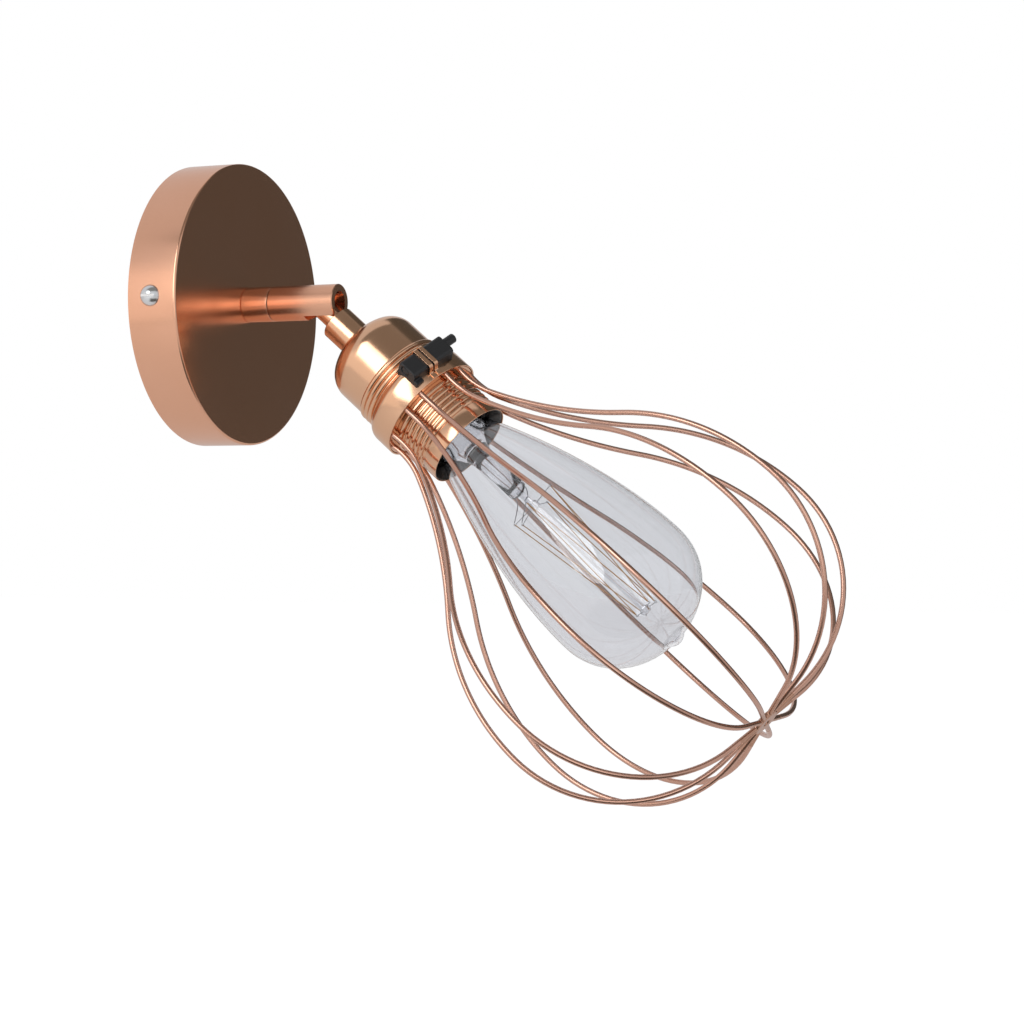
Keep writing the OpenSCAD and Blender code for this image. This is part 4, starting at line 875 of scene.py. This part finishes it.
def head_run(points):
    """Eased path through points (side, top, s) on the head."""
    points = np.array(points, float)
    return eased(PIN + points[:, :1] * SIDEWAYS + points[:, 1:2] * UPPER + points[:, 2:] * ALONG, 2.5)


runs = [head_run([(-LEAD_Y, LEAD_Z, 0.6), (-LEAD_Y, LEAD_Z, 12.5), (-LEAD_Y, 0, 18), (-LEAD_Y, 0, 55.6)]),
        head_run([(LEAD_Y, LEAD_Z, 0.6), (LEAD_Y, LEAD_Z, 12.5), (LEAD_Y, 0, 18), (LEAD_Y, 0, 40.1),
                  (9, 0, 48.1), (9, 0, 55.6)])]
for name, node, paths, r, finish, body, slot in (
        ("lamp_leads", "canopy_leads", supply, LEAD_R, brown_sleeve, "wall_base", "brown_insulation"),
        ("earth_wire", "earth_lead", [earth], EARTH_R, earth_sleeve, "wall_base", "green_insulation"),
        ("arm_wires", "arm_leads", inner, LEAD_R, brown_sleeve, "arm", "brown_insulation"),
        ("head_wires", "head_leads", runs, LEAD_R, brown_sleeve, "head", "brown_insulation")):
    dress(piece(name, [carried(p, r, 14) for p in paths], 60), finish, body, node)
    lengths = [np.linalg.norm(np.diff(p, axis=0), axis=1).sum() for p in paths]
    print(name, "lengths in mm:", [round(float(x), 1) for x in lengths])

# %% [markdown]
# ## Bracket, screws and small parts
# What is left is pressed, turned or moulded to simple shapes, and keeps its CAD form with broken edges.
# Each small part still gets its own finish, because all of them show from behind.

# %% Small parts
small = [
    ("bracket_pressed", "wall_bracket", zinc_steel, "wall_base", 0.3, "zinc_steel"),
    ("side_screws", "canopy_screws", chrome, "wall_base", 0.2, "chrome"),
    ("terminal_strip", "terminal_block", polyamide, "wall_base", 0.35, "white_plastic"),
    ("strip_screws", "block_screws", zinc_steel, "wall_base", 0.15, "zinc_steel"),
    ("clamp_screws", "terminal_screws", zinc_steel, "wall_base", 0.12, "zinc_steel"),
    ("earth_bolt", "earth_screw", brass, "wall_base", 0.2, "brass"),
    ("earth_cup_washer", "earth_washer", brass, "wall_base", 0.12, "brass"),
    ("swivel_nut", "stud_nut", zinc_steel, "wall_base", 0.3, "zinc_steel"),
    ("swivel_washer", "stud_washer", zinc_steel, "wall_base", 0.2, "zinc_steel"),
    ("grub_screw", "swivel_grub", black_steel, "wall_base", 0.1, "black_steel"),
    ("dome_inner_washer", "dome_washer", zinc_steel, "head", 0.2, "zinc_steel"),
    ("dome_inner_nut", "dome_nut", zinc_steel, "head", 0.3, "zinc_steel"),
    ("contact_rivet", "centre_contact", brass, "head", 0.2, "brass"),
    ("wire_clamps", "holder_terminals", brass, "head", 0.25, "brass"),
    ("cap_insulator", "bulb_insulator", phenolic, "head", 0.2, "black_phenolic"),
    ("cap_contact", "bulb_contact", nickel, "head", 0.3, "nickel"),
]
for name, node, finish, body, edge, slot in small:
    dress(deburred(name, node, edge), finish, body, node)
left = [n for n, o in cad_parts.items() if not o.hide_render]
print("CAD nodes still shown:", left)

# %% [markdown]
# ## The studio
# Metal is all reflection, so the studio decides how copper looks. A tall soft box stands left of the camera
# and gives the cream streaks. The room is white. Cards that only reflections see give the other tones: dark
# felt behind for the canopy's face, grey felt above for the brown on top of the holder, brown felt below
# for the tone under the bulb, and pale paper by the camera and at the left for the streaks along the arm
# and the canopy's side. The floor is white for the camera and keeps a soft shadow.

# %% Camera at the photograph's viewpoint
YAW, PITCH = 1.1444, -0.0007
FOCAL_PX, PICTURE_PX, SENSOR = 2600, 1024, 36.0
BACK = np.array([math.cos(YAW) * math.cos(PITCH), -math.sin(YAW) * math.cos(PITCH), math.sin(PITCH)])
RIGHT = np.cross([0, 0, 1], BACK)
RIGHT /= np.linalg.norm(RIGHT)
UP = np.cross(BACK, RIGHT)


def facing(obj, place, towards):
    """Puts obj at place, with its own +z turned towards another point."""
    obj.location = Vector(place)
    obj.rotation_euler = (Vector(towards) - Vector(place)).to_track_quat("Z", "Y").to_euler()


lens = bpy.data.cameras.new("camera")
lens.sensor_width, lens.lens = SENSOR, FOCAL_PX / PICTURE_PX * SENSOR
lens.clip_start, lens.clip_end = 0.05, 50.0
camera = linked("camera", lens)
# the fitted place, in mm to the camera's own right, up and back from the origin
spot = (132.8395 * RIGHT - 88.5104 * UP + 1121.6523 * BACK) / MM
turn = Matrix(np.stack([RIGHT, UP, BACK], 1).tolist())
camera.matrix_world = Matrix.Translation(spot.tolist()) @ turn.to_4x4()
bpy.context.scene.camera = camera
print("camera at", spot.round(3), "m")

# %% Soft box and cards
CENTRE = np.array([0.11, 0.0, -0.05])


def direction(azimuth, elevation):
    """Unit vector: azimuth from the camera's direction towards its right, elevation upwards, in degrees."""
    a, e = math.radians(azimuth), math.radians(elevation)
    return math.cos(e) * (math.cos(a) * BACK + math.sin(a) * RIGHT) + math.sin(e) * UP


def soft_box(name, azimuth, elevation, distance, width, height, radiance):
    """An area lamp that faces the light; its power is pi times radiance times area."""
    lamp = bpy.data.lights.new(name, "AREA")
    lamp.shape, lamp.size, lamp.size_y = "RECTANGLE", width, height
    lamp.energy = math.pi * radiance * width * height
    obj = linked(name, lamp)
    place = CENTRE + distance * direction(azimuth, elevation)
    facing(obj, place, 2 * place - CENTRE)
    obj.visible_camera = False


def bare_tree(owner):
    """The emptied node tree of a new material or world."""
    owner.use_nodes = True
    owner.node_tree.nodes.clear()
    return owner.node_tree


def card_finish(name, colour, strength, edge):
    """An even light of its own that thins out from the share edge of the card's half width outwards."""
    made = bpy.data.materials.new(name)
    tree = bare_tree(made)
    glow = add(tree, "ShaderNodeEmission", {"Color": linear(colour), "Strength": strength})
    place = add(tree, "ShaderNodeTexCoord")
    axes = add(tree, "ShaderNodeSeparateXYZ", {0: place.outputs["Object"]})
    off_x = add(tree, "ShaderNodeMath", {0: axes.outputs[0]}, operation="ABSOLUTE")
    off_y = add(tree, "ShaderNodeMath", {0: axes.outputs[1]}, operation="ABSOLUTE")
    off = add(tree, "ShaderNodeMath", {0: off_x.outputs[0], 1: off_y.outputs[0]}, operation="MAXIMUM")
    span = {"Value": off.outputs[0], "From Min": edge, "From Max": 1.0}
    thin = add(tree, "ShaderNodeMapRange", span, interpolation_type="SMOOTHSTEP")
    clear = add(tree, "ShaderNodeBsdfTransparent")
    soft = add(tree, "ShaderNodeMixShader", {0: thin.outputs[0], 1: glow.outputs[0], 2: clear.outputs[0]})
    add(tree, "ShaderNodeOutputMaterial", {"Surface": soft.outputs[0]})
    return made


def level_square(name, half, z, material):
    """A level square that runs from -half to half both ways, at the height z, with its face up."""
    u, v = np.meshgrid([-half, half], [-half, half])
    mesh = bpy.data.meshes.new(name)
    mesh.from_pydata(np.stack([u, v, 0 * u + z], -1).reshape(-1, 3).tolist(), [], [[0, 1, 3, 2]])
    mesh.materials.append(material)
    return linked(name, mesh)


def flat_card(name, azimuth, elevation, distance, width, height, material):
    """A card that only glossy rays see, turned to face the light; its own coordinates run from -1 to 1."""
    obj = level_square(name, 1.0, 0.0, material)
    facing(obj, CENTRE + distance * direction(azimuth, elevation), CENTRE)
    obj.scale = (width / 2, height / 2, 1)
    obj.visible_camera = obj.visible_diffuse = obj.visible_shadow = obj.visible_transmission = False


soft_box("soft box", -36, 22, 1.5, 0.62, 0.95, 3.0)
flat_card("card above", 25, 67, 1.3, 3.2, 1.15, card_finish("grey felt card", "#868481", 1.0, 0.9))
flat_card("card behind", 126, 26, 1.6, 2.7, 3.5, card_finish("dark felt card", "#585855", 1.0, 0.8))
flat_card("paper by the camera", 2, 4, 1.7, 1.3, 1.35, card_finish("white paper card", "#ffffff", 1.5, 0.5))
flat_card("paper at the left", -64, 0, 1.7, 1.6, 2.0, card_finish("cream paper card", "#fffaf6", 0.98, 0.5))
flat_card("felt below", 12, -60, 0.33, 0.62, 0.5, card_finish("brown felt card", "#5c5955", 1.0, 0.6))

# %% Floor and room
FLOOR_Z, FLOOR_HALF = -0.36, 6.0


def in_sight(tree):
    """1 for rays from the camera and rays that went through glass, and 0 for all others."""
    path = add(tree, "ShaderNodeLightPath")
    rays = {0: path.outputs["Is Camera Ray"], 1: path.outputs["Is Transmission Ray"]}
    return path, add(tree, "ShaderNodeMath", rays, operation="MAXIMUM").outputs[0]


paper = bpy.data.materials.new("floor paper")
floor = level_square("floor", FLOOR_HALF, FLOOR_Z, paper)
tree = bare_tree(paper)
# the paper's own light is what lifts it from light grey to white where no shadow falls
path, seen = in_sight(tree)
lift = add(tree, "ShaderNodeMath", {0: seen, 1: 0.4}, operation="MULTIPLY")
sheet = blend(tree, path.outputs["Is Glossy Ray"], linear("#f6f6f6"), linear("#f0eeec"))
matt = add(tree, "ShaderNodeBsdfDiffuse", {"Color": sheet})
own = add(tree, "ShaderNodeEmission", {"Color": (1, 1, 1, 1), "Strength": lift.outputs[0]})
added = add(tree, "ShaderNodeAddShader", {0: matt.outputs[0], 1: own.outputs[0]})
add(tree, "ShaderNodeOutputMaterial", {"Surface": added.outputs[0]})

room = bpy.data.worlds.new("room")
bpy.context.scene.world = room
tree = bare_tree(room)
path, seen = in_sight(tree)
fill = add(tree, "ShaderNodeBackground", {"Color": linear("#f2f2f4"), "Strength": 0.75})
white = add(tree, "ShaderNodeBackground", {"Color": (1, 1, 1, 1), "Strength": 1.0})
mixed = add(tree, "ShaderNodeMixShader", {0: seen, 1: fill.outputs[0], 2: white.outputs[0]})
add(tree, "ShaderNodeOutputWorld", {"Surface": mixed.outputs[0]})
bpy.context.scene.view_settings.view_transform = "Standard"
print("floor at", FLOOR_Z, "m")

# %% [markdown]
# ## The last step
# The view layer is brought up to date once more.

# %% Update the scene
bpy.context.view_layer.update()
